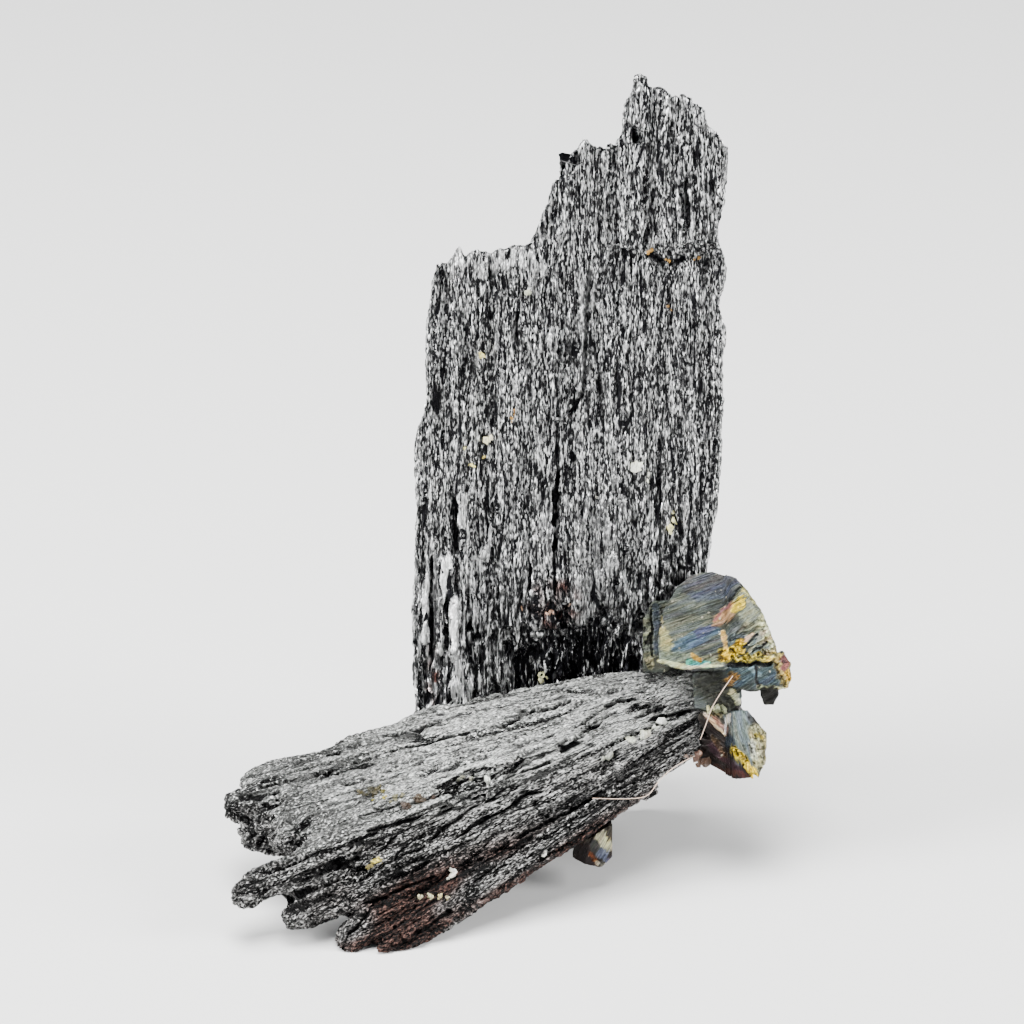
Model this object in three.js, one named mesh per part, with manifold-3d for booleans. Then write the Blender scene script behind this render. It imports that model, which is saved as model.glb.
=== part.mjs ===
// A pyrite specimen: tarnished pyrite crystals on two intergrown black blades.
// The tall blade stands almost upright on its broken foot. The fan blade spreads out in front of it,
// low and to the left, and rests on the tips of its laths. The pyrite sits where the two meet.
// Millimetres, +Z up, the front towards -Y. The origin is at the middle of the underside.

import * as THREE from "three";
import { ConvexGeometry } from "three/addons/geometries/ConvexGeometry.js";
import { mergeVertices } from "three/addons/utils/BufferGeometryUtils.js";
import Module from "manifold-3d";

const wasm = await Module();
wasm.setup();

// Driving dimensions

const seam = 0.3; // gap between a pyrite crystal and the blades that it grew on
const wide = 200; // larger than the specimen, for cutting tools

const tallBlade = {
  lean: 8, // degrees back from upright
  footY: 22, // front face at the ground
  footDepth: 5.4, // front to back at the foot
  crestDepth: 3.0, // front to back at the highest point
  ribPitch: 1.35,
  ribRelief: 0.3, // how far the ribs vary in front of the face
  crestSlope: 32, // degrees that the broken crest drops towards the back
  stepHeight: 51.6, // the ribs right of stepX stand proud above this height
  stepX: 7.6,
  stepProud: 0.5,
};

// The broken outline of the tall blade seen from the front: distance right, height along the blade.
const tallOutline = [
  [-7.6, -3],
  [-7.9, 12],
  [-8.1, 21],
  [-7.9, 31.5],
  [-7.9, 36.6],
  [-7.2, 38.8],
  [-7.1, 45],
  [-6.7, 48.2],
  [-6.3, 50.4],
  [-5.2, 50.9],
  [-4.2, 51.9],
  [-3.8, 50.9],
  [-2.6, 51.6],
  [-1.4, 51.5],
  [0.3, 52.4],
  [1.5, 52.1],
  [2.1, 54.0],
  [2.9, 55.6],
  [3.3, 57.2],
  [4.3, 58.0],
  [4.6, 59.6],
  [6.1, 61.0],
  [7.2, 60.4],
  [8.5, 60.6],
  [9.2, 61.7],
  [9.2, 64.0],
  [9.9, 65.0],
  [10.5, 66.0],
  [12.6, 64.6],
  [14.4, 64.0],
  [15.6, 63.3],
  [16.8, 61.6],
  [17.8, 60.2],
  [17.6, 57.8],
  [17.2, 52.6],
  [17.8, 50.2],
  [17.6, 48.4],
  [17.1, 47.4],
  [17.9, 44.8],
  [17.6, 38.0],
  [17.4, 31.8],
  [16.8, 24.7],
  [16.5, 14.0],
  [13.4, 8.2],
  [10.8, 4.4],
  [6.4, -0.2],
  [6.2, -3],
];

// Long splinters that stand proud of the tall blade's front.
const splinters = [
  { x: -4.3, from: 18.5, to: 28, width: 1.2, proud: 0.75 },
  { x: -5.7, from: 13, to: 24.5, width: 1.0, proud: 0.55 },
  { x: -3.5, from: 10, to: 19.5, width: 1.5, proud: 0.9 },
  { x: -1.4, from: 12, to: 30, width: 1.1, proud: 0.45 },
  { x: 4.9, from: 24, to: 50, width: 0.9, proud: 0.4 },
  { x: 9.6, from: 36, to: 50.5, width: 1.3, proud: 0.4 },
  { x: 12.9, from: 20, to: 42, width: 1.2, proud: 0.4 },
  { x: -6.7, from: 27, to: 44, width: 0.9, proud: 0.35 },
  { x: 15.4, from: 30, to: 56, width: 1.1, proud: 0.4 },
];

// Deep clefts down the tall blade's front. The first group is side by side and makes a hollow.
const clefts = [
  { x: 0.3, from: 8, to: 17.5, width: 1.0, deep: 1.3 },
  { x: 1.9, from: 7, to: 19.5, width: 1.2, deep: 1.9 },
  { x: 3.6, from: 7, to: 21, width: 1.2, deep: 2.2 },
  { x: 5.3, from: 7, to: 20, width: 1.3, deep: 2.5 },
  { x: 7.1, from: 7, to: 21.5, width: 1.2, deep: 2.4 },
  { x: 8.8, from: 7, to: 20.5, width: 1.2, deep: 2.2 },
  { x: 10.5, from: 7, to: 22.5, width: 1.2, deep: 1.8 },
  { x: 12.0, from: 8, to: 19, width: 0.9, deep: 1.2 },
  { x: 3.9, from: 19, to: 41, width: 0.5, deep: 1.3 },
  { x: 7.2, from: 43, to: 51.8, width: 0.4, deep: 1.2 },
  { x: 0.3, from: 36, to: 47, width: 0.4, deep: 0.9 },
  { x: -2.5, from: 15, to: 33, width: 0.4, deep: 1.1 },
  { x: -7.0, from: 9, to: 20, width: 0.4, deep: 1.0 },
  { x: 11.4, from: 23, to: 38, width: 0.4, deep: 1.0 },
  { x: 11.0, from: 52.5, to: 60, width: 0.3, deep: 1.0 },
  { x: 14.4, from: 51, to: 60, width: 0.4, deep: 1.0 },
  { x: 10.6, from: 60, to: 61.8, width: 0.5, deep: 1.6 },
];

// The fan blade has a flat top and a steep front. Each is a plane: height at the origin of the
// drawing, then the rise to the right and the rise to the back.
const fanTopFace = { height: 9.8, right: 0.17, back: 0.15 };
const fanFrontFace = { height: -5.5, right: -0.31, back: 1.26 };

// The laths of the fan, each from its rounded tip to its broken heel: distance right and back of
// both ends, then its width, its thickness and how far it is sunk below the face that it is on.
const topLaths = [
  { tip: [-9.6, 21.6], heel: [7.6, 23.4], width: 2.6, thick: 2.4, sunk: 0.35 },
  { tip: [-15.2, 19.8], heel: [10.9, 23.4], width: 3.2, thick: 2.4, sunk: 0.2 },
  { tip: [-22.6, 17.0], heel: [14.6, 22.8], width: 4.0, thick: 2.6, sunk: 0.0 },
  { tip: [-24.0, 14.5], heel: [15.2, 21.0], width: 3.4, thick: 2.4, sunk: 0.15 },
  { tip: [-21.4, 12.0], heel: [15.8, 19.4], width: 4.0, thick: 2.6, sunk: 0.05 },
  { tip: [-20.1, 9.4], heel: [15.6, 17.9], width: 5.4, thick: 3.0, sunk: 0.0 },
  { tip: [-17.4, 6.7], heel: [15.4, 16.4], width: 3.4, thick: 2.8, sunk: 0.15 },
  { tip: [-22.8, 12.8], heel: [12.0, 18.4], width: 4.8, thick: 3.2, sunk: 1.7 },
];
const frontLaths = [
  { tip: [-17.4, 5.3], heel: [15.5, 18.0], width: 3.0, thick: 3.0, sunk: 0.3 },
  { tip: [-22.2, 2.9], heel: [15.0, 18.6], width: 3.5, thick: 3.2, sunk: 0.1 },
  { tip: [-12.4, 5.5], heel: [15.6, 17.8], width: 3.4, thick: 3.0, sunk: -0.1 },
  { tip: [-18.4, 2.3], heel: [15.4, 17.5], width: 3.3, thick: 3.2, sunk: 0.15 },
  { tip: [-9.4, 5.0], heel: [14.2, 16.7], width: 3.4, thick: 2.8, sunk: 0.15 },
  { tip: [-13.7, 1.7], heel: [11.8, 15.2], width: 4.5, thick: 2.8, sunk: 0.1 },
  { tip: [-11.3, 1.6], heel: [10.8, 14.2], width: 3.2, thick: 2.4, sunk: -0.4 },
  { tip: [-6.2, 4.2], heel: [8.6, 12.8], width: 2.4, thick: 2.2, sunk: 0.2 },
  { tip: [-3.0, 11.4], heel: [15.6, 19.6], width: 2.8, thick: 2.4, sunk: 0.1 },
  { tip: [4.6, 15.2], heel: [15.8, 20.8], width: 2.4, thick: 2.2, sunk: 0.05 },
];

// The laths hidden under the fan: right, back and up of both ends.
const underLaths = [
  { tip: [-18.6, 11.5, 4.6], heel: [13, 20.0, 11.6], width: 5.6, thick: 3.4 },
  { tip: [-19.0, 16.6, 5.4], heel: [10, 22.5, 11.0], width: 5.0, thick: 3.4 },
  { tip: [-15.4, 8.0, 3.8], heel: [13.0, 18.6, 11.6], width: 5.2, thick: 3.4 },
  { tip: [-13.0, 14.0, 2.8], heel: [10, 21.0, 10.0], width: 6.2, thick: 4.0 },
  { tip: [-10.4, 19.6, 4.8], heel: [6, 24.0, 9.4], width: 5.0, thick: 4.4 },
  { tip: [-11.4, 6.6, 1.6], heel: [11, 17.8, 10.8], width: 5.0, thick: 3.4 },
];

// Short deep gaps between laths: both ends, half the width and depth.
const fanGaps = [
  { from: [-6.6, 10.8, 10.6], to: [1.6, 13.6, 12.2], width: 0.9, deep: 2.2 },
  { from: [-17.4, 15.5, 9.0], to: [3.4, 19.8, 13.3], width: 0.3, deep: 0.7 },
  { from: [-6.8, 12.9, 10.6], to: [3.3, 16.6, 12.8], width: 0.3, deep: 0.7 },
  { from: [-4.4, 8.9, 7.2], to: [2.7, 12.3, 9.5], width: 0.3, deep: 1.2 },
  { from: [-3.6, 7.3, 4.9], to: [2.2, 9.7, 6.2], width: 0.6, deep: 1.1 },
  { from: [-12.9, 0.2, -2.4], to: [-10.8, 3.1, 1.3], width: 1.1, deep: 9 },
];

// The pyrite sits on the right, in a frame that is turned to face forwards and up.
const pyritePlace = { at: [17, 22, 19], tilt: -25 };

const colours = { blade: 0x24262a, pyrite: 0x8f8a6c, smallPyrite: 0xa29a74 };

// Numbers that look random and are the same in every run.
function scatter(seed) {
  let state = seed;
  return () => {
    state = (state * 1664525 + 1013904223) >>> 0;
    return (state / 4294967296) * 2 - 1;
  };
}

// three.js geometry to a manifold-3d solid, and back.
function solidOf(geometry) {
  const bare = new THREE.BufferGeometry();
  const whole = geometry.index ? geometry.toNonIndexed() : geometry;
  bare.setAttribute("position", whole.getAttribute("position"));
  const merged = mergeVertices(bare, 1e-4);
  return new wasm.Manifold(
    new wasm.Mesh({
      numProp: 3,
      vertProperties: new Float32Array(merged.attributes.position.array),
      triVerts: new Uint32Array(merged.index.array),
    }),
  );
}

function geometryOf(solid) {
  const mesh = solid.getMesh();
  const points = new Float32Array(mesh.numVert * 3);
  for (let i = 0; i < mesh.numVert; i++) {
    const first = i * mesh.numProp;
    points.set(mesh.vertProperties.subarray(first, first + 3), i * 3);
  }
  const geometry = new THREE.BufferGeometry();
  geometry.setAttribute("position", new THREE.BufferAttribute(points, 3));
  geometry.setIndex(new THREE.BufferAttribute(new Uint32Array(mesh.triVerts), 1));
  return geometry;
}

const joined = (solids) => solids.reduce((all, next) => all.add(next));

// The outer skin of the largest body: loose crumbs go, and voids sealed inside are filled.
const wholeOf = (solid) => solid.decompose().sort((a, b) => b.volume() - a.volume())[0];

// A closed bar through a row of stations. A rib's section is a flat hexagon with wide bevels. A
// lath's section is flatter.
const ribSection = [
  [1, 0],
  [0.68, 1],
  [-0.68, 1],
  [-1, 0],
  [-0.68, -1],
  [0.68, -1],
];
const lathSection = [
  [1, 0.1],
  [0.72, 0.86],
  [0.1, 1],
  [-0.72, 0.9],
  [-1, 0],
  [-0.65, -1],
  [0.65, -1],
];

function bar(stations, section) {
  const points = [];
  for (const { middle, across, up } of stations) {
    for (const [a, b] of section) {
      const corner = middle.clone().addScaledVector(across, a).addScaledVector(up, b);
      points.push(corner.x, corner.y, corner.z);
    }
  }
  const sides = section.length;
  const faces = [];
  for (let s = 0; s + 1 < stations.length; s++) {
    for (let i = 0; i < sides; i++) {
      const j = (i + 1) % sides;
      const [a, b] = [s * sides + i, s * sides + j];
      faces.push(a, a + sides, b, b, a + sides, b + sides);
    }
  }
  const last = (stations.length - 1) * sides;
  for (let i = 1; i + 1 < sides; i++) {
    faces.push(0, i, i + 1, last, last + i + 1, last + i);
  }
  const geometry = new THREE.BufferGeometry();
  geometry.setAttribute("position", new THREE.Float32BufferAttribute(points, 3));
  geometry.setIndex(faces);
  const solid = solidOf(geometry);
  if (solid.volume() > 0) return solid;
  for (let i = 0; i < faces.length; i += 3) {
    [faces[i + 1], faces[i + 2]] = [faces[i + 2], faces[i + 1]];
  }
  geometry.setIndex(faces);
  return solidOf(geometry);
}

// A crystal with flat faces: the hull of its corners.
function crystal(corners) {
  return solidOf(new ConvexGeometry(corners.map((c) => new THREE.Vector3(...c))));
}

// A cleft or a splinter: a long lozenge, pointed at both ends.
function lozenge(halfWidth, halfDepth, halfLength, matrix) {
  const geometry = new THREE.OctahedronGeometry(1);
  geometry.scale(halfWidth, halfDepth, halfLength);
  return solidOf(geometry.applyMatrix4(matrix));
}

// The tall blade, built upright with its front at y = 0, then leaned back and set on the ground.

function tallDepthAt(height) {
  const top = Math.max(...tallOutline.map(([, h]) => h));
  const share = THREE.MathUtils.clamp(height / top, 0, 1);
  return THREE.MathUtils.lerp(tallBlade.footDepth, tallBlade.crestDepth, share * share);
}

function tallRib(x, halfWidth, random, swell) {
  const top = Math.max(...tallOutline.map(([, h]) => h)) + 1;
  const relief = tallBlade.ribRelief;
  const [frontShift, backShift] = [random() * relief, random() * relief];
  const proud = x > tallBlade.stepX ? tallBlade.stepProud : 0;
  const step = tallBlade.stepHeight + 0.7 * random();
  const heights = [-4, 14, 33, step, step + 0.6, top];
  const stations = heights.map((height, i) => {
    const front = frontShift + random() * relief * 0.4 - (i > 3 ? proud : 0);
    const back = tallDepthAt(height) + backShift + random() * relief * 0.4;
    return {
      middle: new THREE.Vector3(x + random() * 0.14, (front + back) / 2, height),
      across: new THREE.Vector3(halfWidth + swell, 0, 0),
      up: new THREE.Vector3(0, (back - front) / 2 + swell, 0),
    };
  });
  return bar(stations, ribSection);
}

function tallBladeSolid(swell = 0) {
  const random = scatter(11);
  const ribs = [];
  const [left, right] = [-8.4, 18.6];
  for (let x = left; x < right; x += tallBlade.ribPitch * (1 + 0.42 * random())) {
    ribs.push(tallRib(x, tallBlade.ribPitch * (0.95 + 0.1 * random()), random, swell));
  }
  let blade = joined(ribs);
  if (!swell) blade = blade.intersect(outlinePlate());

  for (const { x, from, to, width, proud } of splinters) {
    const middle = new THREE.Matrix4().setPosition(x, 0.6, (from + to) / 2);
    blade = blade.add(lozenge(width / 2 + swell, proud + 0.6, (to - from) / 2, middle));
  }
  if (!swell) {
    for (const { x, from, to, width, deep } of clefts) {
      const middle = new THREE.Matrix4().setPosition(x, -0.3, (from + to) / 2);
      blade = blade.subtract(lozenge(width, deep + 0.3, (to - from) / 2, middle));
    }
  }
  return leaned(blade);
}

// The tall blade's outline run through from front to back, dropping backwards so that the broken
// crest ends in a thin front edge.
function outlinePlate() {
  const outline = new THREE.Shape(tallOutline.map(([x, h]) => new THREE.Vector2(x, h)));
  const plate = new THREE.ExtrudeGeometry(outline, { depth: 12, bevelEnabled: false });
  plate.rotateX(Math.PI / 2).translate(0, 10, 0);
  const drop = -Math.tan(THREE.MathUtils.degToRad(tallBlade.crestSlope));
  const shear = new THREE.Matrix4().makeShear(0, 0, 0, drop, 0, 0);
  return solidOf(plate.applyMatrix4(shear));
}

function leaned(solid) {
  const place = new THREE.Matrix4().makeRotationX(THREE.MathUtils.degToRad(-tallBlade.lean));
  place.setPosition(0, tallBlade.footY, 0);
  return solidOf(geometryOf(solid).applyMatrix4(place));
}

// The fan blade: laths that spread from a broken end on the right to rounded tips on the left.

function lathSolid({ tip, heel, width, thick }, normal, random, swell) {
  const along = heel.clone().sub(tip).normalize();
  const side = normal.clone().cross(along).normalize();
  side.applyAxisAngle(along, THREE.MathUtils.degToRad(3.5 * random()));
  const up = along.clone().cross(side);
  const length = heel.distanceTo(tip);
  const rounding = width * 0.6;
  // Distance from the tip, share of the width and share of the thickness at each station.
  const profile = [
    [-swell, 0.34, 0.45],
    [rounding * 0.3, 0.72, 0.8],
    [rounding, 1, 1],
    [length * 0.4, 0.98, 1],
    [length * 0.72, 0.86, 1],
    [length + swell, 0.74, 0.96],
  ];
  const stations = profile.map(([distance, wideShare, thickShare], i) => {
    const wander = i > 1 ? 0.14 : 0.04;
    const middle = tip.clone().addScaledVector(along, distance);
    middle.addScaledVector(side, wander * random()).addScaledVector(up, wander * random());
    return {
      middle,
      across: side.clone().multiplyScalar((width / 2) * wideShare + swell),
      up: up.clone().multiplyScalar((thick / 2) * thickShare + swell),
    };
  });
  return bar(stations, lathSection);
}

const normalOf = (face) => new THREE.Vector3(-face.right, -face.back, 1).normalize();

// A lath whose outer side lies on one of the fan's two faces.
function lathOn(face, { tip, heel, width, thick, sunk }, random, swell) {
  const normal = normalOf(face);
  const onFace = ([x, y]) => {
    const point = new THREE.Vector3(x, y, face.height + face.right * x + face.back * y);
    return point.addScaledVector(normal, -sunk - thick / 2);
  };
  return lathSolid({ tip: onFace(tip), heel: onFace(heel), width, thick }, normal, random, swell);
}

function gapSolid({ from, to, width, deep }) {
  const [start, end] = [new THREE.Vector3(...from), new THREE.Vector3(...to)];
  const along = end.clone().sub(start);
  const outwards = new THREE.Vector3(0, -1, 1).normalize();
  const across = along.clone().normalize().cross(outwards).normalize();
  const down = along.clone().cross(across).normalize();
  const place = new THREE.Matrix4().makeBasis(across, down, along.clone().normalize());
  place.setPosition(start.add(end).multiplyScalar(0.5));
  return lozenge(width, deep, along.length() / 2, place);
}

function fanSolid(swell = 0) {
  const random = scatter(29);
  const upright = new THREE.Vector3(0, 0, 1);
  const top = joined(topLaths.map((lath) => lathOn(fanTopFace, lath, random, swell)));
  const laths = [
    top.subtract(beyondFront(0.25 + swell)),
    ...frontLaths.map((lath) => lathOn(fanFrontFace, lath, random, swell)),
    ...underLaths.map(({ tip, heel, width, thick }) => {
      const ends = { tip: new THREE.Vector3(...tip), heel: new THREE.Vector3(...heel) };
      return lathSolid({ ...ends, width, thick }, upright, random, swell);
    }),
  ];
  let fan = joined([fanCore(), ...laths]);
  if (!swell) {
    for (const gap of fanGaps) fan = fan.subtract(gapSolid(gap));
  }
  return fan;
}

// Everything further out than a given distance in front of the fan's steep face, where the laths of
// its top break off.
function beyondFront(distance) {
  const block = new THREE.BoxGeometry(wide, wide, wide).translate(0, 0, wide / 2 + distance);
  const upright = new THREE.Vector3(0, 0, 1);
  block.applyQuaternion(new THREE.Quaternion().setFromUnitVectors(upright, normalOf(fanFrontFace)));
  return solidOf(block.translate(0, 0, fanFrontFace.height));
}

// The solid middle of the fan, just under the laths.
function fanCore() {
  return crystal([
    [-15, 18.0, 8.8],
    [-15, 7.0, 7.0],
    [-14, 5.0, 4.2],
    [-10.5, 3.8, 0.6],
    [-9, 6, -0.2],
    [-12, 18.5, 4.5],
    [14.5, 22.0, 14.0],
    [14.5, 17.8, 13.4],
    [13.6, 17.4, 11.2],
    [12, 19.0, 10.6],
    [13, 22.5, 10.6],
    [4, 24.5, 12.0],
    [4, 24.5, 7.6],
  ]);
}

// Everything below the ground is cut away, which leaves the flat broken foot.
function aboveGround(solid) {
  const below = new THREE.BoxGeometry(wide, wide, wide).translate(0, 0, -wide / 2);
  return solid.subtract(solidOf(below));
}

const bladesSolid = () => wholeOf(aboveGround(tallBladeSolid().add(fanSolid())));

// Pyrite, in its own frame: right, back and up. The front of each crystal has the lower y.

function upperPyriteSolid() {
  const dome = crystal([
    [-4.5, -1.6, -2.3],
    [-4.7, -1.4, -0.2],
    [-4.2, -1.2, 2.1],
    [-3.1, -1.0, 4.2],
    [-1.8, -0.9, 5.3],
    [-0.2, -1.0, 5.5],
    [1.8, -1.3, 4.9],
    [2.5, -1.5, 3.8],
    [0.7, -2.3, -2.7],
    [-1.7, -2.1, -2.8],
    [4.0, -0.2, 2.2],
    [5.1, 0.2, -0.3],
    [5.5, 0.4, -1.6],
    [-3.6, 2.4, -2.2],
    [-3.4, 2.2, 3.0],
    [-0.5, 2.0, 4.6],
    [2.4, 2.2, 3.6],
    [4.6, 2.4, -1.8],
  ]);
  const backPlate = crystal([
    [-5.9, 0.6, -3.0],
    [-5.9, 0.6, 1.4],
    [-5.0, 0.5, 2.9],
    [-3.6, 0.8, 3.0],
    [-3.6, 0.6, -3.0],
    [-5.7, 3.0, -2.8],
    [-5.6, 3.0, 1.6],
    [-4.0, 3.2, 2.8],
    [-3.6, 3.2, -2.9],
  ]);
  const wedge = crystal([
    [1.1, -1.7, -2.3],
    [4.9, -1.5, -1.5],
    [5.7, -0.6, -1.2],
    [6.3, -0.5, -2.2],
    [6.5, -0.6, -3.2],
    [6.2, -0.7, -4.2],
    [5.4, -1.4, -4.4],
    [3.0, -2.1, -4.5],
    [1.2, -1.8, -4.0],
    [1.4, 1.6, -2.4],
    [5.2, 1.8, -1.6],
    [5.9, 1.6, -3.9],
    [1.6, 1.4, -4.2],
  ]);
  const neck = crystal([
    [-1.4, -1.0, -2.6],
    [-0.4, -1.6, -2.7],
    [1.9, -1.7, -2.6],
    [2.3, -1.2, -4.9],
    [1.9, -1.1, -5.9],
    [0.2, -1.6, -6.0],
    [-1.2, -1.1, -5.7],
    [-0.8, 1.6, -2.6],
    [1.9, 1.6, -2.6],
    [2.0, 1.4, -5.7],
    [-0.5, 1.4, -5.6],
  ]);
  const nub = crystal([
    [3.7, -1.3, -4.0],
    [5.5, -1.2, -4.0],
    [5.3, -1.0, -4.9],
    [4.9, -0.9, -5.5],
    [4.2, -1.0, -5.5],
    [3.8, -1.1, -4.9],
    [4.6, -1.5, -4.6],
    [3.9, 0.2, -4.0],
    [5.4, 0.2, -4.0],
    [5.1, 0.0, -4.9],
    [4.5, 0.0, -5.3],
    [4.0, 0.0, -4.9],
  ]);
  return joined([dome, backPlate, wedge, neck, nub]);
}

function lowerPyriteSolid() {
  const leftBlock = crystal([
    [-0.7, -1.5, -6.3],
    [1.0, -1.9, -6.5],
    [2.0, -2.5, -9.6],
    [3.2, -1.9, -11.7],
    [1.7, -1.5, -11.8],
    [0.0, -1.0, -10.9],
    [-1.3, -0.5, -9.7],
    [-1.6, -0.7, -7.7],
    [-0.4, 1.8, -6.7],
    [2.6, 1.6, -7.0],
    [2.8, 1.4, -11.4],
    [-0.8, 1.6, -9.8],
  ]);
  const rightBlock = crystal([
    [0.6, -1.9, -6.4],
    [2.0, -1.2, -6.3],
    [2.8, -0.8, -6.4],
    [3.3, -0.9, -7.7],
    [4.4, -0.4, -8.0],
    [4.3, -0.4, -10.2],
    [3.7, -1.0, -11.8],
    [2.2, -2.3, -9.8],
    [1.0, 1.6, -6.6],
    [4.0, 1.7, -8.2],
    [3.5, 1.5, -11.4],
    [1.4, 1.7, -9.6],
  ]);
  return leftBlock.add(rightBlock);
}

// The small pyrite under the fan, in the specimen's frame.
function smallPyriteSolid() {
  return crystal([
    [5.2, 13.2, 2.9],
    [6.2, 12.5, 2.6],
    [7.6, 12.6, 2.3],
    [8.5, 13.2, 3.1],
    [8.5, 13.4, 5.6],
    [7.0, 12.6, 6.4],
    [5.4, 13.6, 6.6],
    [5.6, 15.6, 3.0],
    [8.1, 15.6, 2.8],
    [8.3, 15.8, 6.6],
    [5.6, 15.8, 7.2],
  ]);
}

function placedPyrite(solid) {
  const place = new THREE.Matrix4().makeRotationX(THREE.MathUtils.degToRad(pyritePlace.tilt));
  place.setPosition(...pyritePlace.at);
  return solidOf(geometryOf(solid).applyMatrix4(place));
}

// The specimen

const blades = bladesSolid();
const grownBlades = tallBladeSolid(seam).add(fanSolid(seam));
const clearOfBlades = (solid) => wholeOf(aboveGround(solid).subtract(grownBlades));

const upper = clearOfBlades(placedPyrite(upperPyriteSolid()));
const lower = clearOfBlades(placedPyrite(lowerPyriteSolid()));

const materials = {
  blade: new THREE.MeshStandardMaterial({ color: colours.blade, roughness: 0.5, metalness: 0.1 }),
  pyrite: new THREE.MeshStandardMaterial({ color: colours.pyrite, roughness: 0.3, metalness: 0.9 }),
  smallPyrite: new THREE.MeshStandardMaterial({
    color: colours.smallPyrite,
    roughness: 0.4,
    metalness: 0.8,
  }),
};

function piece(name, solid, material) {
  const mesh = new THREE.Mesh(geometryOf(solid), material);
  mesh.name = name;
  return mesh;
}

const specimen = new THREE.Group();
specimen.add(
  piece("black_blades", blades, materials.blade),
  piece("upper_pyrite", upper, materials.pyrite),
  piece("lower_pyrite", lower, materials.pyrite),
  piece("small_pyrite", clearOfBlades(smallPyriteSolid()), materials.smallPyrite),
);

// The origin goes to the middle of the box round the whole specimen, on the ground.
const box = new THREE.Box3().setFromObject(specimen, true);
specimen.position.set(-(box.min.x + box.max.x) / 2, -(box.min.y + box.max.y) / 2, 0);

const part = new THREE.Group();
part.add(specimen);

export default part;
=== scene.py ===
import math
import time
from random import Random

import bmesh
import bpy
import numpy as np
from mathutils import Matrix, Vector


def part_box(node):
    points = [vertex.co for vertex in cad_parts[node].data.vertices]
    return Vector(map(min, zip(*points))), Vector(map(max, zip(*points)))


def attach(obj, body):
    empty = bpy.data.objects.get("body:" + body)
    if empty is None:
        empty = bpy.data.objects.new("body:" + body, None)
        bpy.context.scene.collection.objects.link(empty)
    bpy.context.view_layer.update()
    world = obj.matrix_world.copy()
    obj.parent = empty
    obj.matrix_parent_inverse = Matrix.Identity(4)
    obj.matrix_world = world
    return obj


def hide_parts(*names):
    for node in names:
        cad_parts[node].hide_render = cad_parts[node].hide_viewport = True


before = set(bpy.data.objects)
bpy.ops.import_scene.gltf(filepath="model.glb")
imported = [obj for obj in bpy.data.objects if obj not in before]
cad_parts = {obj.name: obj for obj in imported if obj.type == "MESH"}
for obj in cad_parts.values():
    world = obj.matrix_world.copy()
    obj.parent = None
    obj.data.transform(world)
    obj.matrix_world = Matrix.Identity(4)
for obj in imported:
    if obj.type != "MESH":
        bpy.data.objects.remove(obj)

started = time.time()
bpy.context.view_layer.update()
mm = 0.001               # the settings below are in millimetres, Blender works in metres


def say(stage):
    print(f"{stage}: {time.time() - started:.1f} s")


# numbers on a grid, smooth and the same in every run

def mixBits(values, seed):
    # whole numbers in, numbers from 0 to 1 out, the same in every run
    values = (values ^ np.uint32(seed * 2654435761 % 4294967296)).astype(np.uint32)
    values = (values ^ (values >> np.uint32(16))) * np.uint32(0x7FEB352D)
    values = (values ^ (values >> np.uint32(15))) * np.uint32(0x846CA68B)
    return (values ^ (values >> np.uint32(16))) / 4294967295.0


def cornerValue(cell, seed):
    key = (cell[..., 0] * 73856093) ^ (cell[..., 1] * 19349663) ^ (cell[..., 2] * 83492791)
    return mixBits((key & 0xFFFFFFFF).astype(np.uint32), seed)


def softNoise(points, size, seed):
    # -1 to 1, changing over about one size along each axis
    scaled = points / np.array(size)
    cell = np.floor(scaled).astype(np.int64)
    part = scaled - cell
    part = part * part * part * (part * (part * 6 - 15) + 10)
    total = np.zeros(len(points))
    for dx in (0, 1):
        for dy in (0, 1):
            for dz in (0, 1):
                weight = np.abs(1 - dx - part[:, 0]) * np.abs(1 - dy - part[:, 1])
                weight = weight * np.abs(1 - dz - part[:, 2])
                total += weight * cornerValue(cell + np.array([dx, dy, dz]), seed)
    return total * 2 - 1


def cellNoise(points, size, seed):
    # how far a point is inside its grain (0 at the gap between two), and the grain's own random value
    scaled = points / np.array(size)
    cell = np.floor(scaled).astype(np.int64)
    first = np.full(len(points), 9.0)
    second = np.full(len(points), 9.0)
    owner = np.zeros(len(points))
    for dx in (-1, 0, 1):
        for dy in (-1, 0, 1):
            for dz in (-1, 0, 1):
                near = cell + np.array([dx, dy, dz])
                middle = np.stack([cornerValue(near, seed + k) for k in range(3)], 1) * 0.9 + near
                distance = np.sqrt(((scaled - middle) ** 2).sum(1))
                closer = distance < first
                second = np.where(closer, first, np.minimum(second, distance))
                first = np.where(closer, distance, first)
                owner = np.where(closer, cornerValue(near, seed + 7), owner)
    return second - first, owner


def smoothStep(low, high, values):
    share = np.clip((values - low) / (high - low), 0, 1)
    return share * share * (3 - 2 * share)


# meshes as arrays of points

def pointsOf(mesh):
    flat = np.empty(len(mesh.vertices) * 3, np.float32)
    mesh.vertices.foreach_get("co", flat)
    return flat.reshape(-1, 3).astype(float)


def setPoints(mesh, points):
    mesh.vertices.foreach_set("co", points.astype(np.float32).ravel())
    mesh.update()


def normalsOf(mesh):
    flat = np.empty(len(mesh.vertices) * 3, np.float32)
    mesh.vertex_normals.foreach_get("vector", flat)
    return flat.reshape(-1, 3).astype(float)


def moveBy(mesh, matrix):
    mesh.transform(matrix)
    mesh.update()


def meshFrom(source, weld=0.0005):
    # a welded copy of a mesh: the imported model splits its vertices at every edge
    grid = bmesh.new()
    grid.from_mesh(source)
    bmesh.ops.remove_doubles(grid, verts=grid.verts, dist=weld * mm)
    mesh = bpy.data.meshes.new("welded")
    grid.to_mesh(mesh)
    grid.free()
    return mesh


def newObject(name, data):
    piece = bpy.data.objects.new(name, data)
    bpy.context.scene.collection.objects.link(piece)
    return piece


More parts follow.
